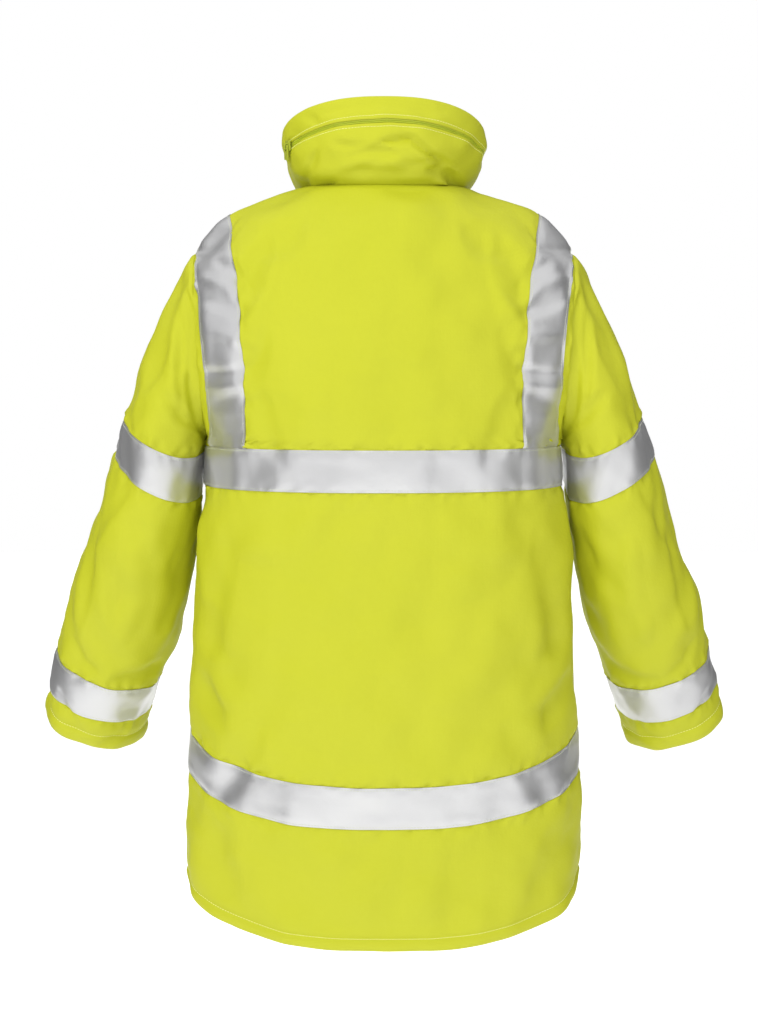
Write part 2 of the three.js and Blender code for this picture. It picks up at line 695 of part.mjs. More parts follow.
// Sets a slider and its pull on the shell, with the pull hanging along a direction.
function zipHead(prefix, point, outward, hanging, length) {
  const z = outward.clone().normalize();
  const y = hanging.clone().negate();
  y.addScaledVector(z, -y.dot(z)).normalize();
  const x = y.clone().cross(z);
  const group = new THREE.Group();
  group.add(slider(prefix + "_zip_slider"), pull(prefix + "_zip_pull", length));
  group.applyMatrix4(new THREE.Matrix4().makeBasis(x, y, z));
  group.position.copy(point).addScaledVector(z, SLIDER.lift + SLIDER.thick);
  return group;
}

function collarZipHead() {
  const { run, from } = COLLAR_ZIP;
  const centre = shellPoint(COLLAR, run, from);
  const onward = shellPoint(COLLAR, run, from + 0.02).sub(centre).normalize();
  const down = shellPoint(COLLAR, run - 2, from).sub(centre).normalize();
  const hanging = down.clone().addScaledVector(onward, PULL_LEAN).normalize();
  return zipHead("collar", centre, onward.cross(down), hanging, PULL_LENGTH.collar);
}

function frontZipHead() {
  const centre = shellPoint(COLLAR, FRONT_ZIP.sliderRun, 2);
  const down = shellPoint(COLLAR, FRONT_ZIP.sliderRun - 2, 2).sub(centre).normalize();
  const outward = down.clone().cross(new THREE.Vector3(1, 0, 0));
  return zipHead("front", centre, outward, down, PULL_LENGTH.front);
}

const jacket = new THREE.Group();
jacket.add(
  ...bodyPiece(["back_panel"], CLOTH_YELLOW, bodyRuns, false, 0, -CLOTH),
  ...bodyPiece(["front_left", "front_right"], CLOTH_YELLOW, bodyRuns, true, 0, -CLOTH),
  ...sleeves(),
  ...collar(),
  ...bodyBands("chest_band", CHEST_BAND),
  ...bodyBands("hem_band", HEM_BAND),
  ...shoulderBands("shoulder_band_back", BACK_BAND, false),
  ...shoulderBands("shoulder_band_front", FRONT_BAND, true),
  ...collarZip(),
  ...frontZip(),
  collarZipHead(),
  frontZipHead(),
);

export default jacket;
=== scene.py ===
"""A padded high-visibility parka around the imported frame: cloth, bands, sewing, zips and studio.

Lengths in the tables are millimetres in the frame's axes: +Z up, the front towards -Y and the
wearer's left towards +X. Meshes are made in metres.
"""

import math

import bpy
import numpy as np
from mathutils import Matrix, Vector


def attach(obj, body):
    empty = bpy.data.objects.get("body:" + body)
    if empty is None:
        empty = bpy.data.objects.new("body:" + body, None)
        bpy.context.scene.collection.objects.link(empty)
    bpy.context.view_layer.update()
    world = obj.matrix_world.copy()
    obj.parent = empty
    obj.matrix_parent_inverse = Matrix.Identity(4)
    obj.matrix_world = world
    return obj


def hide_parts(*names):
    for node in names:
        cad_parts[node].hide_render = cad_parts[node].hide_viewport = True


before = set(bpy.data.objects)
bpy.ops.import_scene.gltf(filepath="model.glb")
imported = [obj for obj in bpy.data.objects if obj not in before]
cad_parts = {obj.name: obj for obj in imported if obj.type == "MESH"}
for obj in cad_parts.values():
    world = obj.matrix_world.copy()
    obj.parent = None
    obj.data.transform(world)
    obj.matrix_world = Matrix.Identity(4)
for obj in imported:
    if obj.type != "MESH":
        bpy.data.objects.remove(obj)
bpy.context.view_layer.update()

MM = 0.001
TURN = 2 * math.pi

# Cloth and trims.
CLOTH = 3.0
SEAM = 0.3
TAPE_LIFT = 0.35
TAPE_THICK = 0.8
TAPE_WIDTH = 50.0
EDGE_CLOTH = 1.4
POCKET_EDGE = 0.9
ZIP_GAP = 4.5
STRIP_HALF_WIDTH = 12.0
STRIP_SPAN = (-1.6, -2.3)
COLLAR_TOOTH, FRONT_TOOTH = 1.5, 1.8
FRONT_ZIP_FOOT = 944.0
FRONT_ZIP_TOP = 100.0


def spline(places, values):
    """A smooth curve through values at rising places."""
    places, values = np.array(places, float), np.array(values, float)
    steps = np.diff(places)
    slopes = np.diff(values) / steps
    tangents = np.empty_like(values)
    tangents[1:-1] = slopes[:-1] * steps[1:] + slopes[1:] * steps[:-1]
    tangents[1:-1] /= steps[:-1] + steps[1:]
    tangents[0] = 1.5 * slopes[0] - 0.5 * tangents[1]
    tangents[-1] = 1.5 * slopes[-1] - 0.5 * tangents[-2]

    def value(place):
        p = np.clip(place, places[0], places[-1])
        i = np.clip(np.searchsorted(places, p, side="right") - 1, 0, len(steps) - 1)
        t = (p - places[i]) / steps[i]
        u = 1 - t
        return (
            values[i] * u * u * (1 + 2 * t)
            + values[i + 1] * t * t * (3 - 2 * t)
            + tangents[i] * steps[i] * t * u * u
            - tangents[i + 1] * steps[i] * t * t * u
        )

    return value


def table(names, *rows):
    """Columns named in one string, each made a smooth function of the first."""
    places = [row[0] for row in rows]
    columns = names.split()[1:]
    return {name: spline(places, [row[i + 1] for row in rows]) for i, name in enumerate(columns)}


# Sections of the body, from the neck seam down over the shoulder and the side.
BODY = table(
    "run side_z back_z front_z half_width back_depth front_depth squareness",
    (0, 9, 0, -46, 105, 75, 84, 2),
    (47, -5, -20, -64, 141, 97, 97, 1.8),
    (92, -23, -42, -82, 188, 111, 107, 1.7),
    (125, -42, -63, -98, 213, 119, 114, 1.75),
    (155, -70, -90, -118, 235, 126, 121, 1.85),
    (180, -96, -113, -138, 234.5, 131, 126, 1.93),
    (235, -152, -163, -183, 229, 142, 137, 2.1),
    (320, -237, -245, -250, 224, 149, 144, 2.35),
    (389, -306, -313, -312, 221, 151, 148, 2.45),
    (446, -362, -369, -368, 222, 151, 150, 2.5),
    (500, -413, -433, -424, 232, 151, 151, 2.5),
    (600, -507, -545, -522, 239, 150, 153, 2.45),
    (750, -665, -716, -675, 244, 148, 155, 2.4),
    (800, -714, -766, -725, 246, 148, 156, 2.4),
    (950, -860, -911, -884, 250, 148, 158, 2.35),
)
ARMHOLE_TOP, ARMHOLE_FOOT = 155.0, 389.0
ARMHOLE_DEPTH = {True: 88.0, False: 84.0}
CHEST_BAND, HEM_BAND, HEM = 396.0, 750.0, 950.0
DIP_POWER = 1.5

# Sections of the collar, from the neck seam up.
COLLAR = table(
    "run side_z back_z front_z half_width back_depth front_depth squareness",
    (0, 9, 0, -46, 105, 75, 84, 2),
    (12, 19, 9, -36, 113, 85, 94, 2.05),
    (40, 33, 36, -14, 121, 95, 102, 2.1),
    (76, 47, 71, 13, 126, 98, 106, 2.1),
    (92, 60, 87, 26, 128, 96, 106, 2.2),
    (108, 77, 102, 42, 126, 92, 103, 2.35),
)
COLLAR_TOP = 108.0
COLLAR_ZIP, ZIP_FROM, ZIP_TO, ZIP_FADE, ZIP_HALF_GAP = 76.0, 0.757, -1.0, 0.2, 3.6
LIPS_HALF_GAP, SLIDER_ROOM = 2.3, 0.16
POCKET_BACK, POCKET_FRONT, POCKET_FRONT_GAP = 11.0, 3.0, 14.0

# Sections of the left sleeve, from the foot of its upper band to the cuff.
SLEEVE = table(
    "run x y z out forward half_width half_depth squareness",
    (0, 284, -8, -345, 28, 15, 61, 92, 2.2),
    (90, 304, -20, -426, 16, 17, 66, 86, 2.2),
    (180, 331, -38, -516, 18, 19, 73, 75, 2.1),
    (262, 361, -60, -596, 19, 21, 70.5, 65, 2.05),
    (312, 376, -74, -641, 20, 22, 68, 60, 2.05),
    (355, 390, -86, -683, 21, 22, 67, 56, 2),
)
CUFF_BAND, CUFF = 262.0, 355.0
HEAD_TOP_ANGLE, HEAD_FOOT_ANGLE, HEAD_START_PULL, HEAD_END_PULL = 50.0, 46.0, 0.62, 0.9
BAND_SLANT, BAND_HIGHEST = 1.02, 0.3

# Distances of the shoulder bands' edges from the middle.
BACK_BAND = table(
    "run inner outer",
    (150, 182, 230),
    (200, 174, 223.5),
    (280, 168, 217.5),
    (393, 164, 212),
)
FRONT_BAND = table(
    "run inner outer",
    (150, 179, 229),
    (200, 171, 220),
    (280, 164, 211),
    (393, 160, 207),
)
BAND_SEAM_INNER, BAND_SEAM_OUTER, BAND_EASE, BAND_CLEAR = 95.0, 151.0, 80.0, 0.5

# Relief of the cloth: how far seams, stitched bands and hems dip, and over what distance.
SEAM_DIP, SEAM_REACH = 2.0, 9.0
BAND_DIP, BAND_REACH = 1.0, 9.0
PUCKER_REACH = 18.0
BODY_FOLD, BAND_FOLD, SLEEVE_FOLD, COLLAR_FOLD = 3.4, 2.0, 3.0, 2.3
HEM_WIDTH, CUFF_HEM_WIDTH, HEM_SWELL, HEM_DIP = 15.0, 19.0, 1.6, 1.3
EDGE_ROLL, EDGE_REACH = 1.3, 3.0
STITCH_PITCH, STITCH_SUNK, STITCH_SIZE = 3.8, 0.12, (2.9, 0.6, 0.42)
EASE, SEAM_TURN = 22.0, 14.0
COLLAR_CALM = 26.0
ZIP_STITCH, COLLAR_STITCH, ZIP_STITCH_DIP = 9.0, 4.2, 0.8
COLLAR_LINE = SEAM / 2 + LIPS_HALF_GAP + COLLAR_STITCH
UNDER_SEAM_DIP, UNDER_SEAM_REACH = 1.0, 5.0
# Soft swelling of the cloth: the seed, wavelength and height of each set of waves. Streaks are
# waves drawn out down the cloth.
BODY_BILLOWS = ((3, 130, 1.5), (4, 58, 0.8), (5, 27, 0.22))
BODY_STREAKS = ((6, 36, 1.0),)
SLEEVE_BILLOWS = ((11, 110, 1.5), (13, 48, 0.7), (16, 25, 0.22))
SLEEVE_STREAKS = ((18, 32, 0.8),)
COLLAR_BILLOWS = ((21, 70, 1.1), (22, 30, 0.6))
PUCKERS = ((31, 16, 1.3),)
STREAK_SCALE = np.array([1.0, 1.0, 0.3])

SIDE = 1 + 1e-9
FINE = 80
SHARP = math.radians(48)


def smooth(t):
    u = np.clip(t, 0, 1)
    return u * u * (3 - 2 * u)


def lerp(a, b, t):
    return a + (b - a) * t


def places(start, stop, step, marks=(), near=(0.8, 2, 4)):
    """Values from start to stop, evenly spaced, with closer ones around the marks."""
    values = list(np.linspace(start, stop, round(abs(stop - start) / step) + 1))
    values += [mark + sign * n for mark in marks for n in (0, *near) for sign in (-1, 1)]
    values = np.unique(np.round(np.clip(values, start, stop), 4))
    apart = np.concatenate([[True], np.diff(values) > 0.15 * min(step, *near)])
    return values[apart]


def half_section(sections, run, back):
    """Points of half a section from the middle to its edge, and the length along it."""
    depth = sections["back_depth" if back else "front_depth"](run)
    middle_z = sections["back_z" if back else "front_z"](run)
    side_z, power = sections["side_z"](run), sections["squareness"](run)
    half_width = sections["half_width"](run)
    share = (run - ARMHOLE_TOP) / (ARMHOLE_FOOT - ARMHOLE_TOP)
    opening = math.sin(math.acos(min(max(1 - 2 * share, -1), 1))) if sections is BODY else 0
    reach = half_width / (1 - (opening * ARMHOLE_DEPTH[back] / depth) ** power) ** (1 / power)
    angles = np.linspace(math.pi / 2, math.acos((half_width / reach) ** (power / 2)), FINE + 1)
    x = reach * np.maximum(np.cos(angles), 0) ** (2 / power)
    y = depth * np.maximum(np.sin(angles), 0) ** (2 / power)
    z = side_z + (middle_z - side_z) * (y / depth) ** DIP_POWER
    points = np.stack([x, y if back else -y, z], axis=1)
    lengths = np.linalg.norm(np.diff(points, axis=0), axis=1)
    return points, np.concatenate([[0], np.cumsum(lengths)])


def shell(sections, runs, turns):
    """Points of the body or collar, and how far each lies from the side.

    The turn is 0 at the centre back, 1 at a side and 2 at the centre front.
    """
    runs, turns = np.broadcast_arrays(np.asarray(runs, float), np.asarray(turns, float))
    points, aside = np.empty(runs.shape + (3,)), np.empty(runs.shape)
    for run in np.unique(runs):
        for back in (True, False):
            here = (runs == run) & ((np.abs(turns) <= 1) == back)
            if not here.any():
                continue
            half, lengths = half_section(sections, run, back)
            turned = np.abs(turns[here])
            wanted = (turned if back else 2 - turned) * lengths[-1]
            for k in range(3):
                points[here, k] = np.interp(wanted, lengths, half[:, k])
            aside[here] = lengths[-1] - wanted
    points[..., 0] *= np.where(turns < 0, -1, 1)
    return points, aside


def turn_at(sections, runs, distances, back):
    """The turns at which sections are given distances from the middle."""
    runs, distances = np.broadcast_arrays(np.asarray(runs, float), np.asarray(distances, float))
    turns = np.empty(runs.shape)
    for run in np.unique(runs):
        here = runs == run
        half, lengths = half_section(sections, run, back)
        share = np.interp(distances[here], half[:, 0], lengths / lengths[-1])
        turns[here] = share if back else np.maximum(2 - share, SIDE)
    return turns


def directions(grid, closed=False):
    """The outward directions of a grid of points, from its neighbours."""
    if closed:
        across = np.roll(grid, -1, axis=1) - np.roll(grid, 1, axis=1)
    else:
        across = np.gradient(grid, axis=1)
    normal = unit(np.cross(across, np.gradient(grid, axis=0)))
    middle = grid.mean(axis=1, keepdims=True)
    return normal * np.sign((normal * (grid - middle)).sum())


def unit(vectors):
    return vectors / np.maximum(np.linalg.norm(vectors, axis=-1, keepdims=True), 1e-9)


def billow(points, seed, wavelength, height):
    """Uneven soft swelling, from waves in many directions."""
    rng = np.random.default_rng(seed)
    total = np.zeros(points.shape[:-1])
    count = 14
    for _ in range(count):
        way = rng.normal(size=3)
        way *= TURN / (np.linalg.norm(way) * wavelength * rng.uniform(0.7, 1.6))
        total += np.sin(points @ way + rng.uniform(0, TURN))
    return height * total * math.sqrt(2 / count)


def swelling(points, billows, seed=0):
    return sum(billow(points, n + seed, wavelength, height) for n, wavelength, height in billows)


def folded(points, folds, mask):
    """Soft troughs and ridges, each along a line of points in X and Z.

    A fold is its half width, its height at the middle (down if negative), its lean, by which one
    flank rises and the other sinks, and its line.
    """
    flat = points[..., [0, 2]]
    total = np.zeros(points.shape[:-1])
    for half_width, height, lean, *line in folds:
        line = np.array(line, float)
        legs = np.linalg.norm(np.diff(line, axis=0), axis=1)
        whole, before = legs.sum(), 0.0
        nearest = np.full(total.shape, np.inf)
        along, aside = np.zeros(total.shape), np.zeros(total.shape)
        for a, b, leg in zip(line[:-1], line[1:], legs):
            way = (b - a) / leg
            t = np.clip((flat - a) @ way, 0, leg)
            off = flat - a - t[..., None] * way
            far = np.linalg.norm(off, axis=-1)
            closer = far < nearest
            nearest = np.where(closer, far, nearest)
            along = np.where(closer, (before + t) / whole, along)
            aside = np.where(closer, off @ np.array([-way[1], way[0]]), aside)
            before += leg
        taper = 1 - np.abs(2 * along - 1) ** 3
        width = half_width * (0.5 + 0.5 * taper)
        bump = (1 - np.clip(nearest / width, 0, 1) ** 2) ** 2
        total += (0.35 + 0.65 * taper) * bump * (height + lean * aside / width)
    return total * mask


def seam(distance, dip=SEAM_DIP, reach=SEAM_REACH):
    return -dip * (1 - smooth(distance / reach))


def rolled(distance):
    return -EDGE_ROLL * np.clip(1 - distance / EDGE_REACH, 0, 1) ** 2


def hem(distance, width):
    """A turned-up hem: a groove at its stitching and a swelling below."""
    groove = -HEM_DIP * (1 - smooth(np.abs(distance - width) / 6))
    swell = HEM_SWELL * np.sin(math.pi * np.clip(distance / width, 0, 1))
    return groove + swell + rolled(distance)


def beside_front_zip(points):
    """Nothing along the front zip and one away from it, so that folds leave its edges level."""
    away = smooth((np.abs(points[..., 0]) - ZIP_GAP - 8) / EASE)
    return np.where(points[..., 1] < 0, away, 1)


def banded(points, distance, weight=1.0):
    """A stitched band's grooves at both edges, and the cloth puckered beside them."""
    edge = np.minimum(np.abs(distance), np.abs(distance - TAPE_WIDTH))
    outside = (distance < 0) | (distance > TAPE_WIDTH)
    puckers = swelling(points, PUCKERS) * np.where(outside, 1, 0.35)
    puckers *= smooth(1 - edge / PUCKER_REACH) * smooth(edge / 2) * beside_front_zip(points)
    return weight * (-BAND_DIP * (1 - smooth(edge / BAND_REACH)) + puckers)


# Folds of the back, in pairs as shown on the left; each lies mirrored on the right too.
BACK_FOLDS = [
    (26, -2.2, 1.2, (141, -76), (152, -108), (160, -150)),
    (22, 1.6, 0.5, (128, -64), (140, -110), (150, -160), (154, -200)),
    (24, -1.8, -0.8, (146, -165), (152, -205), (158, -245)),
    (30, -1.6, 0.6, (100, -48), (120, -70), (150, -84)),
    (22, -1.2, 0.8, (150, -250), (140, -300), (120, -335)),
    (34, 1.4, 0.0, (70, -395), (110, -425), (170, -440)),
    (30, -1.6, 0.8, (190, -420), (205, -480), (212, -560)),
    (26, -1.6, -0.8, (226, -500), (212, -540), (190, -565)),
    (26, 1.4, 0.6, (228, -560), (205, -600), (180, -620)),
    (22, -1.8, 0.8, (236, -590), (214, -622), (196, -650)),
    (30, -1.4, 0.5, (150, -650), (176, -690), (200, -740)),
    (30, -1.2, 0.5, (215, -770), (205, -820), (180, -860)),
]
# Waves of the shoulder bands, which turn the light on the tape.
BAND_WAVES = [
    (24, 1.5, -1.2, (184, -312), (182, -374)),
    (13, -1.5, 1.4, (160, -124), (176, -106), (200, -92)),
    (12, 1.3, 0.9, (160, -152), (184, -128), (222, -112)),
    (14, -1.5, 1.5, (152, -166), (180, -148), (214, -140)),
    (13, 1.0, -0.9, (150, -196), (182, -182), (214, -180)),
    (10, -1.5, 1.5, (150, -216), (182, -226), (220, -226)),
    (9, 1.2, 0.8, (150, -240), (182, -244), (220, -246)),
    (16, -1.3, -1.0, (150, -262), (182, -262), (220, -272)),
]
FRONT_FOLDS = [
    (24, -1.8, 0.8, (134, -96), (146, -140), (150, -190)),
    (26, 1.4, 0.5, (110, -90), (122, -150), (128, -220)),
    (24, -1.4, -0.6, (140, -240), (128, -280), (110, -320)),
    (30, -1.6, 0.6, (190, -410), (204, -470), (212, -550)),
    (26, -1.5, 0.7, (226, -510), (206, -545), (182, -570)),
    (26, 1.4, 0.4, (40, -420), (56, -500), (50, -600)),
    (24, -1.2, 0.6, (30, -700), (60, -760), (70, -820)),
]


SLEEVE_BACK_FOLDS = [
    (10, -2.2, 1.6, (240, -128), (234, -155), (233, -218), (230, -288), (222, -306)),
    (13, -1.4, -0.9, (247, -152), (244, -218), (240, -268)),
    (13, -1.9, 1.0, (268, -252), (252, -268), (236, -290)),
    (18, -1.5, 0.8, (250, -102), (267, -170), (288, -240)),
    (20, 1.2, 0.4, (262, -100), (284, -170), (302, -236)),
    (16, -1.3, 0.8, (318, -372), (345, -400), (362, -440)),
    (14, -1.2, 0.7, (362, -432), (374, -484), (384, -540)),
    (18, -1.4, 0.6, (250, -440), (262, -500), (282, -545)),
    (22, 1.2, 0.5, (300, -430), (306, -500), (330, -560)),
    (13, -1.8, 1.1, (280, -592), (313, -607), (352, -613)),
    (10, -1.2, 0.8, (398, -560), (386, -590), (362, -606)),
    (9, -1.3, 0.7, (420, -628), (412, -650), (402, -664)),
    (9, -1.0, 0.6, (330, -664), (345, -690), (372, -704)),
]
SLEEVE_FRONT_FOLDS = [
    (11, -2.0, 1.4, (240, -140), (234, -170), (232, -230), (226, -300)),
    (18, -1.5, 0.8, (252, -110), (268, -180), (288, -250)),
    (20, -1.8, 1.0, (262, -420), (290, -470), (340, -490)),
    (18, -1.8, -1.0, (272, -470), (306, -510), (352, -530)),
    (14, -1.6, 0.9, (300, -590), (340, -612), (380, -600)),
    (10, -1.2, 0.7, (400, -640), (392, -668), (376, -684)),
]
# The deepest creases of the sleeve, between two points near the cloth: width and depth.
SLEEVE_CREASES = [
    ((246, 84, -130), (243, 96, -215), 17, 5),
    ((262, 70, -262), (318, 74, -282), 20, 3),
    ((262, -75, -480), (330, -112, -520), 24, 4),
    ((272, -68, -535), (340, -112, -560), 18, 3),
]
COLLAR_BACK_FOLDS = [
    (9, -2.6, 2.4, (6, 45), (-33, 49), (-56, 31), (-90, 22)),
    (9, 2.0, 0.8, (-36, 38), (-60, 22), (-84, 14)),
    (12, -4.6, 2.4, (-56, 16), (-72, 17), (-92, 4), (-101, -8)),
    (8, 2.2, 0.8, (-62, 4), (-78, 4), (-90, -4)),
    (11, -4.0, -2.0, (108, 16), (98, 3), (88, -6)),
    (8, -2.4, 1.4, (60, 6), (80, 0), (92, -6)),
    (12, -1.5, 1.4, (52, 12), (5, 9), (-42, 13)),
    (9, -1.6, 1.2, (104, 92), (92, 82), (80, 72)),
    (10, -1.8, -1.2, (80, 40), (86, 24), (98, 10)),
    (9, -1.8, 1.4, (40, 30), (10, 36), (-20, 30)),
    (8, -1.4, 1.2, (60, 46), (36, 40), (20, 44)),
    (7, -1.2, 1.0, (-14, 24), (-34, 20), (-52, 24)),
    (12, -1.8, 0.6, (70, 84), (30, 93), (-30, 93), (-72, 84)),
]
COLLAR_TUCKS = [
    (10, -7.0, -5.0, (116, 2), (98, -4)),
    (9, -3.5, -2.5, (-116, 6), (-100, 0)),
]
COLLAR_FRONT_FOLDS = [
    (11, -2.0, 1.2, (20, 4), (48, 0), (78, 14)),
    (10, -1.8, -1.0, (14, -24), (44, -20), (74, -4)),
    (9, -1.3, 0.8, (90, 30), (78, 12), (70, -6)),
]


def mirror_folds(folds):
    flipped = [
        (width, height, -lean, *[(-x, z) for x, z in line]) for width, height, lean, *line in folds
    ]
    return [*folds, *flipped]


def band_edge(run, start, edge):
    """A shoulder band's edge, eased from the shoulder seam into its table."""
    return lerp(BODY["half_width"](start), edge(run), smooth((run - start) / BAND_EASE))


def body_relief(points, normals, runs, turns, aside):
    back = np.abs(turns) <= 1
    facing = smooth(np.abs(normals[..., 1]) * 1.6 - 0.2)
    relief = swelling(points, BODY_BILLOWS) + swelling(points * STREAK_SCALE, BODY_STREAKS)
    relief += BODY_FOLD * folded(points, mirror_folds(BACK_FOLDS), back * facing)
    relief += BODY_FOLD * folded(points, mirror_folds(FRONT_FOLDS), ~back * facing)
    relief += BAND_FOLD * folded(points, mirror_folds(BAND_WAVES), facing)
    relief *= smooth(aside / EASE) * smooth(runs / EASE) * beside_front_zip(points)
    relief += seam(aside) + seam(runs) + rolled(aside) * 0.4
    relief += hem(HEM - runs, HEM_WIDTH)
    for top in (CHEST_BAND, HEM_BAND):
        relief += banded(points, runs - top)
    for side, edges in ((back, BACK_BAND), (~back, FRONT_BAND)):
        inner = band_edge(runs, BAND_SEAM_INNER, edges["inner"])
        here = side * smooth((runs - BAND_SEAM_INNER) / 12) * smooth((CHEST_BAND - runs) / 10)
        relief += banded(points, np.abs(points[..., 0]) - inner, here)
    return relief


def neck_directions(turns):
    """What the body and the collar both point along at the seam between them."""
    low = np.array([[0.0], [2.0]])
    body, collar = (directions(shell(part, low, turns)[0])[0] for part in (BODY, COLLAR))
    return unit(body + collar)


def armhole_directions(runs, back):
    """What the body and the sleeve both point along at the armhole, on the left."""
    angles = np.linspace(0, math.pi, 41)
    edge_runs = lerp(ARMHOLE_TOP, ARMHOLE_FOOT, (1 - np.cos(angles)) / 2)
    near = (0.97, 0.985, 1.0) if back else (SIDE, 1.015, 1.03)
    body = directions(shell(BODY, edge_runs[:, None], near)[0])[:, -1 if back else 0]
    round_angles = np.concatenate([angles, angles[1:-1] + math.pi])
    head, _ = sleeve_head(np.array([[0.0], [0.01]]), round_angles[None])
    sleeve = directions(head, closed=True)[0]
    sleeve = sleeve[:41] if back else np.concatenate([sleeve[:1], sleeve[:39:-1]])
    shared = unit(body + sleeve)
    return np.stack([np.interp(runs, edge_runs, shared[:, k]) for k in range(3)], axis=-1)


def eased_to_seams(normals, runs, turns, aside):
    """Outward directions that turn, close to a seam, into what both of its sides share."""
    if runs.min() < SEAM_TURN:
        near = 1 - smooth(runs / SEAM_TURN)[..., None]
        normals = unit(lerp(normals, neck_directions(turns[:1]), near))
    beside = 1 - smooth(aside / SEAM_TURN)
    within = smooth((runs - ARMHOLE_TOP) / 8 + 1) * smooth((ARMHOLE_FOOT - runs) / 8 + 1)
    if not (beside * within).any():
        return normals
    for back in (True, False):
        here = (np.abs(turns) <= 1) == back
        shared = armhole_directions(runs, back)
        shared[..., 0] *= np.where(turns < 0, -1, 1)
        normals = unit(lerp(normals, shared, (beside * within * here)[..., None]))
    return normals


def body_surface(runs, turns):
    """The cloth's outer face on a grid of runs and turns, and its outward directions."""
    runs, turns = np.broadcast_arrays(np.asarray(runs, float), np.asarray(turns, float))
    base, aside = shell(BODY, runs, turns)
    normals = eased_to_seams(directions(base), runs, turns, aside)
    relief = body_relief(base, normals, runs, turns, aside)
    inset = np.abs(base[..., 0]) - ZIP_GAP
    zip_side = rolled(inset) - ZIP_STITCH_DIP * (1 - smooth(np.abs(inset - ZIP_STITCH) / 4))
    relief += (np.abs(turns) > 1) * zip_side
    return base + relief[..., None] * normals, normals


# The left sleeve. Its level is -2 to -1 from the armhole to the upper band, -1 to 0 across the
# band, and the run in millimetres from there on. The angle is 0 outside or on top, then turns over
# the back to pi underneath.
def armhole_points(angles):
    run = lerp(ARMHOLE_TOP, ARMHOLE_FOOT, (1 - np.cos(angles)) / 2)
    back = np.sin(angles) >= 0
    across = np.abs(np.sin(angles)) * np.where(back, ARMHOLE_DEPTH[True], ARMHOLE_DEPTH[False])
    depth = np.where(back, BODY["back_depth"](run), BODY["front_depth"](run))
    middle_z = np.where(back, BODY["back_z"](run), BODY["front_z"](run))
    side_z = BODY["side_z"](run)
    z = side_z + (middle_z - side_z) * (across / depth) ** DIP_POWER
    x = BODY["half_width"](run) + SEAM / 2
    return np.stack([x, np.where(back, across, -across), z], axis=-1)


def sleeve_section(runs, angles):
    out, forward = np.radians(SLEEVE["out"](runs)), np.radians(SLEEVE["forward"](runs))
    along = np.stack(
        [np.sin(out) * np.cos(forward), -np.sin(forward), -np.cos(out) * np.cos(forward)], axis=-1
    )
    outward = np.array([1.0, 0, 0]) - along * along[..., :1]
    outward /= np.linalg.norm(outward, axis=-1, keepdims=True)
    backward = np.cross(outward, along)
    centre = np.stack([SLEEVE[axis](runs) for axis in "xyz"], axis=-1)
    power = 2 / SLEEVE["squareness"](runs)
    c, s = np.cos(angles), np.sin(angles)
    across = SLEEVE["half_width"](runs) * np.sign(c) * np.abs(c) ** power
    depth = SLEEVE["half_depth"](runs) * np.sign(s) * np.abs(s) ** power
    return centre + across[..., None] * outward + depth[..., None] * backward


def sleeve_head(shares, angles):
    start, end = armhole_points(angles), sleeve_section(np.zeros_like(angles), angles)
    span = np.linalg.norm(end - start, axis=-1, keepdims=True)
    steep = np.radians(lerp(HEAD_FOOT_ANGLE, HEAD_TOP_ANGLE, (1 + np.cos(angles)) / 2))
    leave = np.stack([np.cos(steep), np.zeros_like(steep), -np.sin(steep)], axis=-1)
    arrive = sleeve_section(np.ones_like(angles), angles) - end
    arrive /= np.linalg.norm(arrive, axis=-1, keepdims=True)
    t = shares[..., None]
    u = 1 - t
    points = start * u * u * (1 + 2 * t) + end * t * t * (3 - 2 * t)
    points += HEAD_START_PULL * span * leave * t * u * u
    points -= HEAD_END_PULL * span * arrive * t * t * u
    return points, span[..., 0]


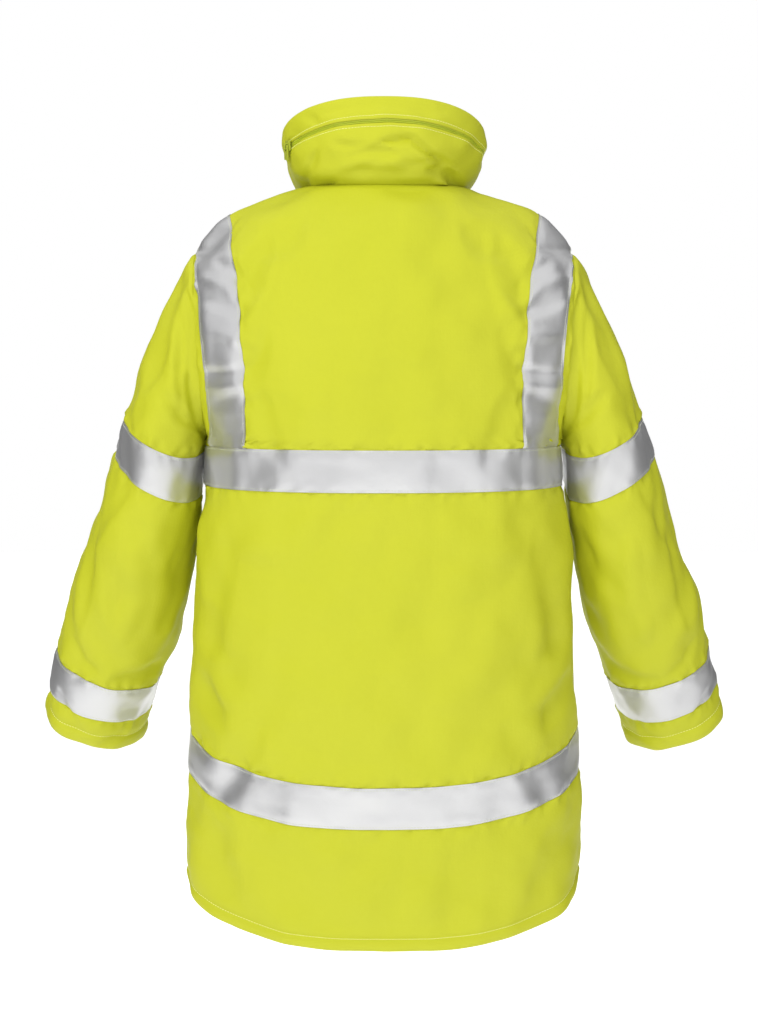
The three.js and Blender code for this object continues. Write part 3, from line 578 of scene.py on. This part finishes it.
def sleeve_surface(levels, angles, seed=0):
    levels, angles = np.broadcast_arrays(np.asarray(levels, float), np.asarray(angles, float))
    span = np.linalg.norm(armhole_points(angles) - sleeve_section(0 * angles, angles), axis=-1)
    band = np.maximum(1 - BAND_SLANT * TAPE_WIDTH / span, BAND_HIGHEST)
    shares = np.where(levels < -1, band * (levels + 2), lerp(band, 1, np.clip(levels + 1, 0, 1)))
    head, _ = sleeve_head(shares, angles)
    arm = sleeve_section(np.maximum(levels, 0), angles)
    base = np.where((levels < 0)[..., None], head, arm)
    normals = directions(base, closed=True)
    from_armhole = np.where(levels < 0, shares * span, 1e3)
    near = 1 - smooth(from_armhole / SEAM_TURN)[..., None]
    runs = lerp(ARMHOLE_TOP, ARMHOLE_FOOT, (1 - np.cos(angles)) / 2)
    for back in (True, False):
        here = ((np.sin(angles) >= -1e-9) == back)[..., None]
        normals = unit(lerp(normals, armhole_directions(runs, back), near * here))
    from_band = np.where(levels < 0, (shares - band) / (1 - band) * TAPE_WIDTH, TAPE_WIDTH + levels)
    relief = swelling(base, SLEEVE_BILLOWS, seed)
    relief += swelling(base * STREAK_SCALE, SLEEVE_STREAKS, seed)
    relief *= smooth(from_armhole / EASE)
    relief += seam(from_armhole) + 0.4 * rolled(from_armhole)
    relief += banded(base, from_band) + banded(base, levels - CUFF_BAND)
    relief += hem(CUFF - levels, CUFF_HEM_WIDTH)
    under = np.abs(angles - math.pi) * SLEEVE["half_width"](np.maximum(levels, 0))
    relief -= UNDER_SEAM_DIP * (1 - smooth(under / UNDER_SEAM_REACH))
    for start, stop, width, depth in SLEEVE_CREASES:
        start, stop = np.array(start, float), np.array(stop, float)
        way = stop - start
        t = np.clip((base - start) @ way / (way @ way), 0, 1)
        far = np.linalg.norm(base - start - t[..., None] * way, axis=-1) / width
        relief -= depth * (1 - np.clip(far, 0, 1) ** 2) ** 2
    facing = normals[..., 1]
    relief += SLEEVE_FOLD * folded(base, SLEEVE_BACK_FOLDS, smooth(facing * 1.8))
    relief += SLEEVE_FOLD * folded(base, SLEEVE_FRONT_FOLDS, smooth(-facing * 1.8))
    return base + relief[..., None] * normals, normals


# The collar. Its columns run from the left front edge round the back to the right one.
def zip_half_gap(turns):
    outside = np.maximum(np.maximum(turns - ZIP_FROM, ZIP_TO - turns), 0)
    at_slider = smooth((turns - ZIP_FROM + SLIDER_ROOM) / (SLIDER_ROOM / 2))
    half_gap = lerp(LIPS_HALF_GAP, ZIP_HALF_GAP, at_slider)
    return SEAM / 2 + half_gap * (1 - smooth(outside / ZIP_FADE))


def collar_turns(run, gap):
    end = turn_at(COLLAR, [run], [gap], False)[0]
    front = 1e-9 + 1 + (end - 1) * COLLAR_FRONT_SHARES
    return np.concatenate([front[::-1], COLLAR_BACK_TURNS[::-1], -front])


def collar_relief(points, normals, runs, turns):
    from_zip = np.abs(runs - COLLAR_ZIP) - zip_half_gap(turns)
    zipped = (zip_half_gap(turns) - SEAM / 2) / ZIP_HALF_GAP
    inset = np.abs(points[..., 0]) - ZIP_GAP + 1e3 * (np.abs(turns) < 1)
    facing = normals[..., 1]
    calm = smooth((COLLAR_TOP - runs) / COLLAR_CALM) * beside_front_zip(points)
    relief = swelling(points, COLLAR_BILLOWS) * smooth(runs / EASE) * calm
    relief += seam(runs) + rolled(np.maximum(from_zip, 0))
    relief -= ZIP_STITCH_DIP * zipped * (1 - smooth(np.abs(from_zip - COLLAR_STITCH) / 3))
    relief += rolled(inset) - ZIP_STITCH_DIP * (1 - smooth(np.abs(inset - ZIP_STITCH) / 4))
    relief += COLLAR_FOLD * folded(points, COLLAR_BACK_FOLDS, calm * smooth(facing * 1.8 + 0.2))
    front_folds = mirror_folds(COLLAR_FRONT_FOLDS)
    relief += COLLAR_FOLD * folded(points, front_folds, calm * smooth(-facing * 1.8))
    relief += folded(points, COLLAR_TUCKS, smooth(runs / 9))
    return relief


def collar_surface(runs, turns):
    runs, turns = np.broadcast_arrays(np.asarray(runs, float), np.asarray(turns, float))
    base, _ = shell(COLLAR, runs, turns)
    normals = directions(base)
    near = 1 - smooth(runs / SEAM_TURN)[..., None]
    normals = unit(lerp(normals, neck_directions(turns[:1]), near))
    relief = collar_relief(base, normals, runs, turns)
    return base + relief[..., None] * normals, normals


def collar_grid(shares, from_run, to_run, gap):
    """Runs and turns of a grid whose rows are shares of the way between two edges."""
    rows = []
    for share in shares:
        turns = collar_turns(float(lerp(from_run(0), to_run(0), share)), gap)
        rows.append((lerp(from_run(turns), to_run(turns), share) + 0 * turns, turns))
    return np.array([row[0] for row in rows]), np.array([row[1] for row in rows])


# Meshes.
def as_mesh(name, vertices, faces, look, body="jacket"):
    material, slot = look
    mesh = bpy.data.meshes.new(name)
    mesh.from_pydata((np.asarray(vertices) * MM).tolist(), [], [list(face) for face in faces])
    mesh.materials.append(material)
    mesh.shade_smooth()
    mesh.set_sharp_from_angle(angle=SHARP)
    piece = bpy.data.objects.new(name, mesh)
    bpy.context.scene.collection.objects.link(piece)
    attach(piece, body)
    return piece


def wall_faces(rows, columns, closed):
    """Quads of a wall whose vertices are an outer grid and then an inner one."""
    index = np.arange(rows * columns).reshape(rows, columns)
    if closed:
        index = np.concatenate([index, index[:, :1]], axis=1)
    outer, inner = index, index + rows * columns

    def quads(*corners):
        return np.stack([corner.ravel() for corner in corners], axis=1)

    faces = [
        quads(outer[:-1, :-1], outer[:-1, 1:], outer[1:, 1:], outer[1:, :-1]),
        quads(inner[:-1, :-1], inner[1:, :-1], inner[1:, 1:], inner[:-1, 1:]),
        quads(outer[0, :-1], inner[0, :-1], inner[0, 1:], outer[0, 1:]),
        quads(outer[-1, :-1], outer[-1, 1:], inner[-1, 1:], inner[-1, :-1]),
    ]
    if not closed:
        faces.append(quads(outer[:-1, 0], outer[1:, 0], inner[1:, 0], inner[:-1, 0]))
        faces.append(quads(outer[:-1, -1], inner[:-1, -1], inner[1:, -1], outer[1:, -1]))
    return np.concatenate(faces)


def wall(node, look, outer, inner, closed=False):
    """A piece of cloth between two grids, in place of its node."""
    vertices = np.concatenate([outer.reshape(-1, 3), inner.reshape(-1, 3)])
    faces = wall_faces(*outer.shape[:2], closed)
    a, b, c, d = (vertices[faces[:, k]] for k in range(4))
    if (a * np.cross(b, c)).sum() + (a * np.cross(c, d)).sum() < 0:
        faces = faces[:, ::-1]
    piece = as_mesh(node + "_cloth", vertices, faces, look)
    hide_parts(node)
    return piece


def layer(node, look, surface, normals, span, closed=False):
    """Cloth between two distances from a surface."""
    outer, inner = (surface + np.asarray(distance)[..., None] * normals for distance in span)
    return wall(node, look, outer, inner, closed)


def thinned(from_zip):
    """The span of cloth that lies on a zip's strip at its edge."""
    return 0, -lerp(EDGE_CLOTH, CLOTH, smooth((from_zip - STRIP_HALF_WIDTH + 4) / 6))


def along_path(points, normals, pitch):
    """Places, ways and outward directions at even steps along a line of points."""
    lengths = np.concatenate([[0], np.cumsum(np.linalg.norm(np.diff(points, axis=0), axis=1))])
    at = np.arange(pitch / 2, lengths[-1], pitch)
    where = np.stack([np.interp(at, lengths, points[:, k]) for k in range(3)], axis=1)
    ahead = np.stack([np.interp(at + 0.5, lengths, points[:, k]) for k in range(3)], axis=1)
    behind = np.stack([np.interp(at - 0.5, lengths, points[:, k]) for k in range(3)], axis=1)
    way = ahead - behind
    way /= np.linalg.norm(way, axis=1, keepdims=True)
    out = np.stack([np.interp(at, lengths, normals[:, k]) for k in range(3)], axis=1)
    out -= way * (out * way).sum(axis=1, keepdims=True)
    out /= np.linalg.norm(out, axis=1, keepdims=True)
    return where, way, out


def beads(where, way, out, length, width, height):
    """Small rounded blocks: vertices and faces, each block longest along its way."""
    side = np.cross(out, way)
    shape = [(x, y, 0) for x, y in ((-1, -0.7), (-0.7, -1), (0.7, -1), (1, -0.7))]
    shape += [(-x, -y, 0) for x, y, _ in shape]
    ring = np.array(shape, float)
    top = ring * 0.72 + (0, 0, 1)
    block = np.concatenate([ring, top]) * (length / 2, width / 2, height)
    vertices = where[:, None] + sum(
        block[None, :, k, None] * axis[:, None] for k, axis in enumerate((way, side, out))
    )
    count = len(ring)
    faces = [[i, (i + 1) % count, (i + 1) % count + count, i + count] for i in range(count)]
    caps = [list(range(count))[::-1], list(range(count, 2 * count))]
    all_faces = [
        [corner + 2 * count * n for corner in face] for n in range(len(where)) for face in faces + caps
    ]
    return vertices.reshape(-1, 3), all_faces


def joined(shapes):
    """One set of vertices and faces from several."""
    vertices, faces = [], []
    for made, made_faces in shapes:
        offset = sum(len(v) for v in vertices)
        vertices.append(made)
        faces += [[corner + offset for corner in face] for face in made_faces]
    return np.concatenate(vertices), faces


def thread(name, look, lines, lift=0.0):
    """Rows of stitches that lie on cloth or tape, along lines of points and normals."""
    rows = []
    for points, normals in lines:
        where, way, out = along_path(points, normals, STITCH_PITCH)
        rows.append(beads(where + out * (lift - STITCH_SUNK), way, out, *STITCH_SIZE))
    return as_mesh(name, *joined(rows), look)


# Materials.
def new_material(name, color, roughness, metallic=0.0):
    """A material with its shader's own values set, and its nodes and links."""
    material = bpy.data.materials.new(name)
    material.use_nodes = True
    nodes, links = material.node_tree.nodes, material.node_tree.links
    shader = nodes["Principled BSDF"]
    shader.inputs["Base Color"].default_value = (*color, 1)
    shader.inputs["Roughness"].default_value = roughness
    shader.inputs["Metallic"].default_value = metallic
    return material, nodes, links, shader


def noise(nodes, links, coordinates, scale, detail=2.0):
    texture = nodes.new("ShaderNodeTexNoise")
    texture.inputs["Scale"].default_value = scale
    texture.inputs["Detail"].default_value = detail
    links.new(coordinates, texture.inputs["Vector"])
    return texture.outputs["Fac"]


def bump(nodes, links, shader, layers):
    """Bumps laid over each other: each a height, a distance in metres and a strength."""
    last = None
    for height, distance, strength in layers:
        node = nodes.new("ShaderNodeBump")
        node.inputs["Distance"].default_value = distance
        node.inputs["Strength"].default_value = strength
        links.new(height, node.inputs["Height"])
        if last:
            links.new(last, node.inputs["Normal"])
        last = node.outputs["Normal"]
    links.new(last, shader.inputs["Normal"])


def varied(nodes, links, factor, low, high, socket):
    """Feeds a socket a value or colour between two, by a factor."""
    mix = nodes.new("ShaderNodeMix")
    mix.data_type = "RGBA" if socket.type == "RGBA" else "FLOAT"
    a, b = [i for i in mix.inputs if i.name in "AB" and i.type == socket.type][:2]
    a.default_value, b.default_value = low, high
    links.new(factor, mix.inputs["Factor"])
    links.new([o for o in mix.outputs if o.type == socket.type][0], socket)


def weave(nodes, links, coordinates, scale):
    """Threads crossing along X and Z."""
    heights = []
    for direction in ("X", "Z"):
        wave = nodes.new("ShaderNodeTexWave")
        wave.bands_direction = direction
        wave.inputs["Scale"].default_value = scale
        wave.inputs["Distortion"].default_value = 0.6
        links.new(coordinates, wave.inputs["Vector"])
        heights.append(wave.outputs["Fac"])
    both = nodes.new("ShaderNodeMath")
    both.operation = "MAXIMUM"
    links.new(heights[0], both.inputs[0])
    links.new(heights[1], both.inputs[1])
    return both.outputs["Value"]


def object_coordinates(nodes):
    return nodes.new("ShaderNodeTexCoord").outputs["Object"]


def cloth_material(name, low, high, roughness=0.62):
    material, nodes, links, shader = new_material(name, low, roughness)
    where = object_coordinates(nodes)
    shader.inputs["Specular IOR Level"].default_value = 0.36
    soft = noise(nodes, links, where, 7, 3)
    varied(nodes, links, soft, (*low, 1), (*high, 1), shader.inputs["Base Color"])
    layers = [
        (noise(nodes, links, where, 24, 4), 0.005, 0.32),
        (noise(nodes, links, where, 110, 3), 0.0008, 0.18),
        (weave(nodes, links, where, 190), 0.0002, 0.3),
    ]
    bump(nodes, links, shader, layers)
    return material


def tape_material():
    """Tape with a coat of glass beads that throws light back: grey where it turns away."""
    material, nodes, links, shader = new_material("silver_tape", (0.7, 0.7, 0.7), 0.48, 0.85)
    where = object_coordinates(nodes)
    patches = noise(nodes, links, where, 9, 2)
    varied(nodes, links, patches, (0.57, 0.57, 0.58, 1), (0.71, 0.71, 0.71, 1), shader.inputs["Base Color"])
    layers = [
        (noise(nodes, links, where, 22, 3), 0.004, 0.2),
        (noise(nodes, links, where, 2600, 1), 0.0001, 0.35),
    ]
    bump(nodes, links, shader, layers)
    return material


def plain_material(name, color, roughness, metallic=0.0, grain=900):
    material, nodes, links, shader = new_material(name, color, roughness, metallic)
    height = noise(nodes, links, object_coordinates(nodes), grain, 2)
    bump(nodes, links, shader, [(height, 0.0002, 0.35)])
    return material


YELLOW = (cloth_material("fluorescent_cloth", (0.475, 0.503, 0.014), (0.515, 0.53, 0.022)), "cloth")
SILVER = (tape_material(), "tape")
THREAD = (plain_material("thread", (0.84, 0.88, 0.34), 0.6), "cloth")
TAPE_THREAD = (plain_material("tape_thread", (0.6, 0.62, 0.5), 0.6), "tape")
ZIP_CLOTH = (cloth_material("zip_tape", (0.55, 0.6, 0.05), (0.6, 0.64, 0.07), 0.7), "cloth")
TEETH = (plain_material("zip_teeth", (0.5, 0.58, 0.03), 0.38), "zip_teeth")
METAL = (plain_material("zip_paint", (0.46, 0.52, 0.05), 0.36, 0.25), "zip_metal")

# Where the pieces are divided.
BODY_MARKS = (0, CHEST_BAND, CHEST_BAND + TAPE_WIDTH, HEM_BAND, HEM_BAND + TAPE_WIDTH)
BODY_RUNS = places(0, HEM, 4.6, (*BODY_MARKS, HEM - HEM_WIDTH, HEM))[:, None]
BACK_TURNS = places(-1, 1, 1 / 64, (-1, 1), (0.003, 0.009, 0.018))
FRONT_SHARES = places(0, 1, 1 / 62, (0, 1), (0.004, 0.012, 0.025))
COLLAR_BACK_TURNS = places(-1, 1, 1 / 45)[1:-1]
COLLAR_FRONT_SHARES = places(0, 1, 1 / 42, (1,), (0.006, 0.018, 0.035))
TAPE_SPAN = (TAPE_LIFT + TAPE_THICK, TAPE_LIFT)
CLOTH_SPAN = (0, -CLOTH)
SIDES = (("left", 1), ("right", -1))
# Closer rows along the edges of bands; the second from each edge is stitched.
TAPE_EDGE_ROWS = (0.8, 2.5)
EDGE_ROWS = (2, -3)


# Body: panels, and the bands sewn across and down them.
def front_turns(runs):
    """Turns of the left front, from the side seam to the zip, for each run."""
    ends = turn_at(BODY, runs[:, 0], np.full(len(runs), ZIP_GAP), False)
    return 1e-9 + 1 + (ends[:, None] - 1) * FRONT_SHARES


cloth_lines, tape_lines = [], []
HEM_ROW = int(np.argmin(np.abs(BODY_RUNS[:, 0] - (HEM - HEM_WIDTH))))
surface, normals = body_surface(BODY_RUNS, BACK_TURNS)
layer("back_panel", YELLOW, surface, normals, CLOTH_SPAN)
cloth_lines.append((surface[HEM_ROW], normals[HEM_ROW]))
for side, sign in SIDES:
    surface, normals = body_surface(BODY_RUNS, sign * front_turns(BODY_RUNS))
    layer("front_" + side, YELLOW, surface, normals, thinned(np.abs(surface[..., 0]) - ZIP_GAP))
    cloth_lines.append((surface[HEM_ROW], normals[HEM_ROW]))
    beside_zip = ZIP_GAP + ZIP_STITCH + np.array([-1.5, 0, 1.5])
    runs = BODY_RUNS[2:-3]
    turns = sign * turn_at(BODY, *np.broadcast_arrays(runs, beside_zip), False)
    surface, normals = body_surface(runs, turns)
    cloth_lines.append((surface[:, 1], normals[:, 1]))
for band, top in (("chest_band", CHEST_BAND), ("hem_band", HEM_BAND)):
    runs = places(top, top + TAPE_WIDTH, 4, (top, top + TAPE_WIDTH), TAPE_EDGE_ROWS)[:, None]
    surfaces = [("_back", *body_surface(runs, BACK_TURNS))]
    for side, sign in SIDES:
        surfaces.append(("_front_" + side, *body_surface(runs, sign * front_turns(runs))))
    for part, surface, normals in surfaces:
        layer(band + part, SILVER, surface, normals, TAPE_SPAN)
        tape_lines += [(surface[row], normals[row]) for row in EDGE_ROWS]


def shoulder_band(edges, back):
    """Runs and turns of a band from the shoulder seam down to the chest band."""
    shares = places(0, 1, 1 / 12, (0, 1), (0.016, 0.05))
    starts = lerp(BAND_SEAM_INNER, BAND_SEAM_OUTER, shares)
    level = BAND_SEAM_OUTER + 12
    tip = [lerp(starts, level, share) for share in places(0, 1, 1 / 14, (0,), (0.01, 0.03))]
    rest = [np.full_like(shares, run) for run in np.arange(level + 4, CHEST_BAND, 4.4)]
    runs = np.array([*tip, *rest, np.full_like(shares, CHEST_BAND - 2 * SEAM)])
    below = lerp(edges["inner"](runs), edges["outer"](runs), shares)
    distances = lerp(BODY["half_width"](starts), below, smooth((runs - starts) / BAND_EASE))
    distances = np.minimum(distances, BODY["half_width"](runs) - BAND_CLEAR)
    turns = turn_at(BODY, runs, distances, back)
    turns[0] = 1 if back else SIDE
    return runs, turns


for name, edges, back in (("back", BACK_BAND, True), ("front", FRONT_BAND, False)):
    runs, turns = shoulder_band(edges, back)
    for side, sign in SIDES:
        surface, normals = body_surface(runs, sign * turns)
        layer("shoulder_band_" + name + "_" + side, SILVER, surface, normals, TAPE_SPAN)
        tape_lines += [(surface[:, column], normals[:, column]) for column in EDGE_ROWS]
thread("body_stitching", THREAD, cloth_lines)
thread("body_band_stitching", TAPE_THREAD, tape_lines, TAPE_SPAN[0])

# Sleeves.
ANGLES = np.linspace(0, TURN, 121)[:-1]
HEAD_LEVELS = -2 + places(0, 1, 1 / 26, (0, 1), (0.008, 0.02, 0.05))
BAND_LEVELS = -1 + places(0, 1, 1 / 12, (0, 1), (0.016, 0.05))
ARM_LEVELS = places(
    0, CUFF, 4.6, (0, CUFF_BAND, CUFF_BAND + TAPE_WIDTH, CUFF - CUFF_HEM_WIDTH, CUFF)
)
CUFF_LEVELS = places(
    CUFF_BAND, CUFF_BAND + TAPE_WIDTH, 4, (CUFF_BAND, CUFF_BAND + TAPE_WIDTH), TAPE_EDGE_ROWS
)
SLEEVE_LEVELS = np.unique(np.concatenate([HEAD_LEVELS, BAND_LEVELS, ARM_LEVELS]))
CUFF_ROW = int(np.argmin(np.abs(SLEEVE_LEVELS - (CUFF - CUFF_HEM_WIDTH))))
for side, sign in SIDES:
    tape_lines = []
    for node, look, levels, span in (
        ("sleeve", YELLOW, SLEEVE_LEVELS, CLOTH_SPAN),
        ("sleeve_band", SILVER, BAND_LEVELS, TAPE_SPAN),
        ("cuff_band", SILVER, CUFF_LEVELS, TAPE_SPAN),
    ):
        surface, normals = (
            grid * np.array([sign, 1, 1]) for grid in sleeve_surface(levels[:, None], ANGLES, sign)
        )
        layer(node + "_" + side, look, surface, normals, span, closed=True)
        if node == "sleeve":
            thread("cuff_stitching_" + side, THREAD, [(surface[CUFF_ROW], normals[CUFF_ROW])])
        else:
            tape_lines += [(surface[row], normals[row]) for row in EDGE_ROWS]
    thread("sleeve_band_stitching_" + side, TAPE_THREAD, tape_lines, TAPE_SPAN[0])


# Collar.
def seam_run(turns):
    return 0 * turns


def zip_low(turns):
    return COLLAR_ZIP - zip_half_gap(turns)


def zip_high(turns):
    return COLLAR_ZIP + zip_half_gap(turns)


def level_run(level):
    return lambda turns: level + 0 * turns


def beside_zips(points, runs, turns):
    """How far points lie from the edges along both zips."""
    zipped = zip_half_gap(turns) > SEAM
    from_collar_zip = np.where(zipped, np.abs(runs - COLLAR_ZIP) - zip_half_gap(turns), 1e3)
    from_front_zip = np.where(np.abs(turns) > 1, np.abs(points[..., 0]) - ZIP_GAP, 1e3)
    return np.minimum(from_collar_zip, from_front_zip)


LIP = 3.7
LOWER_SHARES = places(0, 1, 1 / 20, (0, 1), (0.012, 0.03, 0.06))
UPPER_SHARES = places(0, 1, 1 / 20, (0,), (0.02, 0.04))
runs, turns = collar_grid(LOWER_SHARES, seam_run, zip_low, ZIP_GAP)
lower, normals = collar_surface(runs, turns)
layer("collar_lower", YELLOW, lower, normals, thinned(beside_zips(lower, runs, turns)))

runs, turns = collar_grid(UPPER_SHARES, zip_high, level_run(COLLAR_TOP - LIP), ZIP_GAP)
upper, upper_normals = collar_surface(runs, turns)
thickness = thinned(beside_zips(upper, runs, turns))[1]
rise = unit(upper[-1] - upper[-3])
curl = [
    upper[-1] + LIP * (math.sin(a) * rise - (1 - math.cos(a)) * upper_normals[-1])
    for a in np.linspace(0, math.pi, 11)[1:]
]
upper = np.concatenate([upper, curl])
thickness = np.concatenate([thickness, np.repeat(thickness[-1:], len(curl), axis=0)])
layer("collar_upper", YELLOW, upper, directions(upper), (0, thickness))

INNER_SHARES = places(0, 1, 1 / 20, (0, 1), (0.02, 0.05))
runs, turns = collar_grid(
    INNER_SHARES, seam_run, level_run(COLLAR_TOP - LIP - 1), POCKET_FRONT_GAP
)
inner, inner_normals = collar_surface(runs, turns)
room = lerp(POCKET_BACK, POCKET_FRONT, smooth(2 * (np.abs(turns) - 1)))
depth = CLOTH + POCKET_EDGE + room * np.sin(math.pi * INNER_SHARES)[:, None]
inner = inner - depth[..., None] * inner_normals
layer("collar_inner", YELLOW, inner, inner_normals, CLOTH_SPAN)


# Zips: a strip of tape behind the opening, and teeth along it.
def chain(node, points, normals, base, height):
    """Two rows of teeth, the one set half a tooth on from the other."""
    pitch, length, width = 1.6, 1.2, 1.9
    rows = []
    for side in (-1, 1):
        where, way, out = along_path(points, normals, pitch)
        where = where + out * base + np.cross(out, way) * side * 1.05 + way * side * pitch / 4
        rows.append(beads(where, way, out, length, width, height))
    piece = as_mesh(node + "_teeth", *joined(rows), TEETH)
    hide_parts(node)


stitch_turns = places(ZIP_TO, ZIP_FROM, 1 / 70)
collar_lines = []
for middle in (COLLAR_ZIP - COLLAR_LINE, COLLAR_ZIP + COLLAR_LINE):
    surface, normals = collar_surface(middle + np.array([[-1.5], [0], [1.5]]), stitch_turns)
    collar_lines.append((surface[1], normals[1]))
thread("collar_stitching", THREAD, collar_lines)

ASIDE = np.array([-STRIP_HALF_WIDTH, -8, -5, -2.5, 0, 2.5, 5, 8, STRIP_HALF_WIDTH])
ends = 0.85 * ZIP_FADE
zip_turns = places(ZIP_TO - ends, ZIP_FROM + ends, 1 / 60, (ZIP_TO, ZIP_FROM))
toothed = (zip_turns >= ZIP_TO) & (zip_turns <= ZIP_FROM)
surface, normals = collar_surface(COLLAR_ZIP + ASIDE[:, None], zip_turns)
layer("collar_zip_strip", ZIP_CLOTH, surface, normals, STRIP_SPAN)
middle = len(ASIDE) // 2
along_teeth = surface[middle, toothed], normals[middle, toothed]
chain("collar_zip_chain", *along_teeth, STRIP_SPAN[0], COLLAR_TOOTH)


def front_zip_surface():
    """The closed front under its zip, from near the hem to near the collar's top."""
    body_runs = places(8, FRONT_ZIP_FOOT, 7)[::-1]
    collar_runs = places(0, FRONT_ZIP_TOP, 5)
    grids = []
    for sections, runs in ((BODY, body_runs), (COLLAR, collar_runs)):
        levels, across = np.meshgrid(runs, ASIDE, indexing="ij")
        turns = turn_at(sections, levels, np.abs(across), False) * np.where(across < 0, -1, 1)
        grids.append(shell(sections, levels, turns)[0])
    grid = np.concatenate(grids)
    return grid, directions(grid)


surface, normals = front_zip_surface()
layer("front_zip_strip", ZIP_CLOTH, surface, normals, STRIP_SPAN)
chain("front_zip_chain", surface[:, middle], normals[:, middle], STRIP_SPAN[0], FRONT_TOOTH)

for node in ("collar_zip_slider", "collar_zip_pull", "front_zip_slider", "front_zip_pull"):
    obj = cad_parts[node]
    obj.data.materials.clear()
    obj.data.materials.append(METAL[0])

# Studio: a pale floor in an evenly bright room, dark cards beside and above that the tape mirrors
# where it turns away, some of which shade nothing else, and two large soft lights.
FLOOR_Z = -1.45
floor_material, _, _, floor_shader = new_material("floor", (0.9, 0.9, 0.9), 0.9)
floor_shader.inputs["Emission Color"].default_value = (1, 1, 1, 1)
floor_shader.inputs["Emission Strength"].default_value = 0.34
bpy.ops.mesh.primitive_circle_add(
    vertices=64, radius=14, fill_type="NGON", location=(0, 0, FLOOR_Z)
)
floor = bpy.context.object
floor.name = "floor"
floor.data.materials.append(floor_material)

CARD_X, CARD_TOP, CARD_NEAR = 2.3, 1.1, 0.9
card_material, _, _, _ = new_material("card", (0.06, 0.06, 0.06), 0.9)
cards = [("card_above", (-3.2, -2.4, 0.6), (3.2, -2.4, 3.8), True)]
for side, sign in SIDES:
    x = sign * CARD_X
    cards += [
        ("card_" + side, (x, -3.4, FLOOR_Z), (x, CARD_NEAR, CARD_TOP), True),
        ("card_near_" + side, (x, CARD_NEAR, FLOOR_Z), (x, 1.8, 0.7), False),
        ("card_high_" + side, (x, -3.4, CARD_TOP), (x, 0.3, 1.8), False),
    ]
for name, low, high, shades_cloth in cards:
    corners = [(low[0], low[1], low[2]), (high[0], high[1], low[2])]
    corners += [(x, y, high[2]) for x, y, _ in reversed(corners)]
    card_mesh = bpy.data.meshes.new(name)
    card_mesh.from_pydata(corners, [], [(0, 1, 2, 3)])
    card_mesh.materials.append(card_material)
    card = bpy.data.objects.new(name, card_mesh)
    card.visible_camera = False
    card.visible_diffuse = shades_cloth
    bpy.context.scene.collection.objects.link(card)

world = bpy.data.worlds.new("studio")
bpy.context.scene.world = world
world.use_nodes = True
world.node_tree.nodes["Background"].inputs["Color"].default_value = (1, 1, 1, 1)
world.node_tree.nodes["Background"].inputs["Strength"].default_value = 1.0

TARGET = Vector((0, 0, -0.42))
for name, place, size, energy in (
    ("key", (1.5, 2.5, 2.1), 1.8, 60),
    ("front", (0.3, -2.7, 0.1), 1.2, 60),
):
    data = bpy.data.lights.new(name, "AREA")
    data.size, data.energy = size, energy
    lamp = bpy.data.objects.new(name, data)
    lamp.location = place
    lamp.rotation_euler = (TARGET - lamp.location).to_track_quat("-Z", "Y").to_euler()
    lamp.visible_camera = False
    lamp.visible_glossy = False
    bpy.context.scene.collection.objects.link(lamp)

IMAGE_WIDTH, IMAGE_HEIGHT = 758, 1024
FOCAL_PX, AXIS_PX, LEVEL_PX = 1379.3, 383.5, 450
camera_data = bpy.data.cameras.new("camera")
camera_data.sensor_width = 36
camera_data.lens = 36 * FOCAL_PX / IMAGE_HEIGHT
camera = bpy.data.objects.new("camera", camera_data)
bpy.context.scene.collection.objects.link(camera)
pitch = math.atan((IMAGE_HEIGHT / 2 - LEVEL_PX) / FOCAL_PX)
distance = 1.75
camera.location = ((AXIS_PX - IMAGE_WIDTH / 2) * distance / FOCAL_PX, distance, -0.319)
camera.rotation_euler = (math.pi / 2 - pitch, 0, math.pi)
bpy.context.scene.camera = camera
bpy.context.scene.view_settings.view_transform = "Standard"
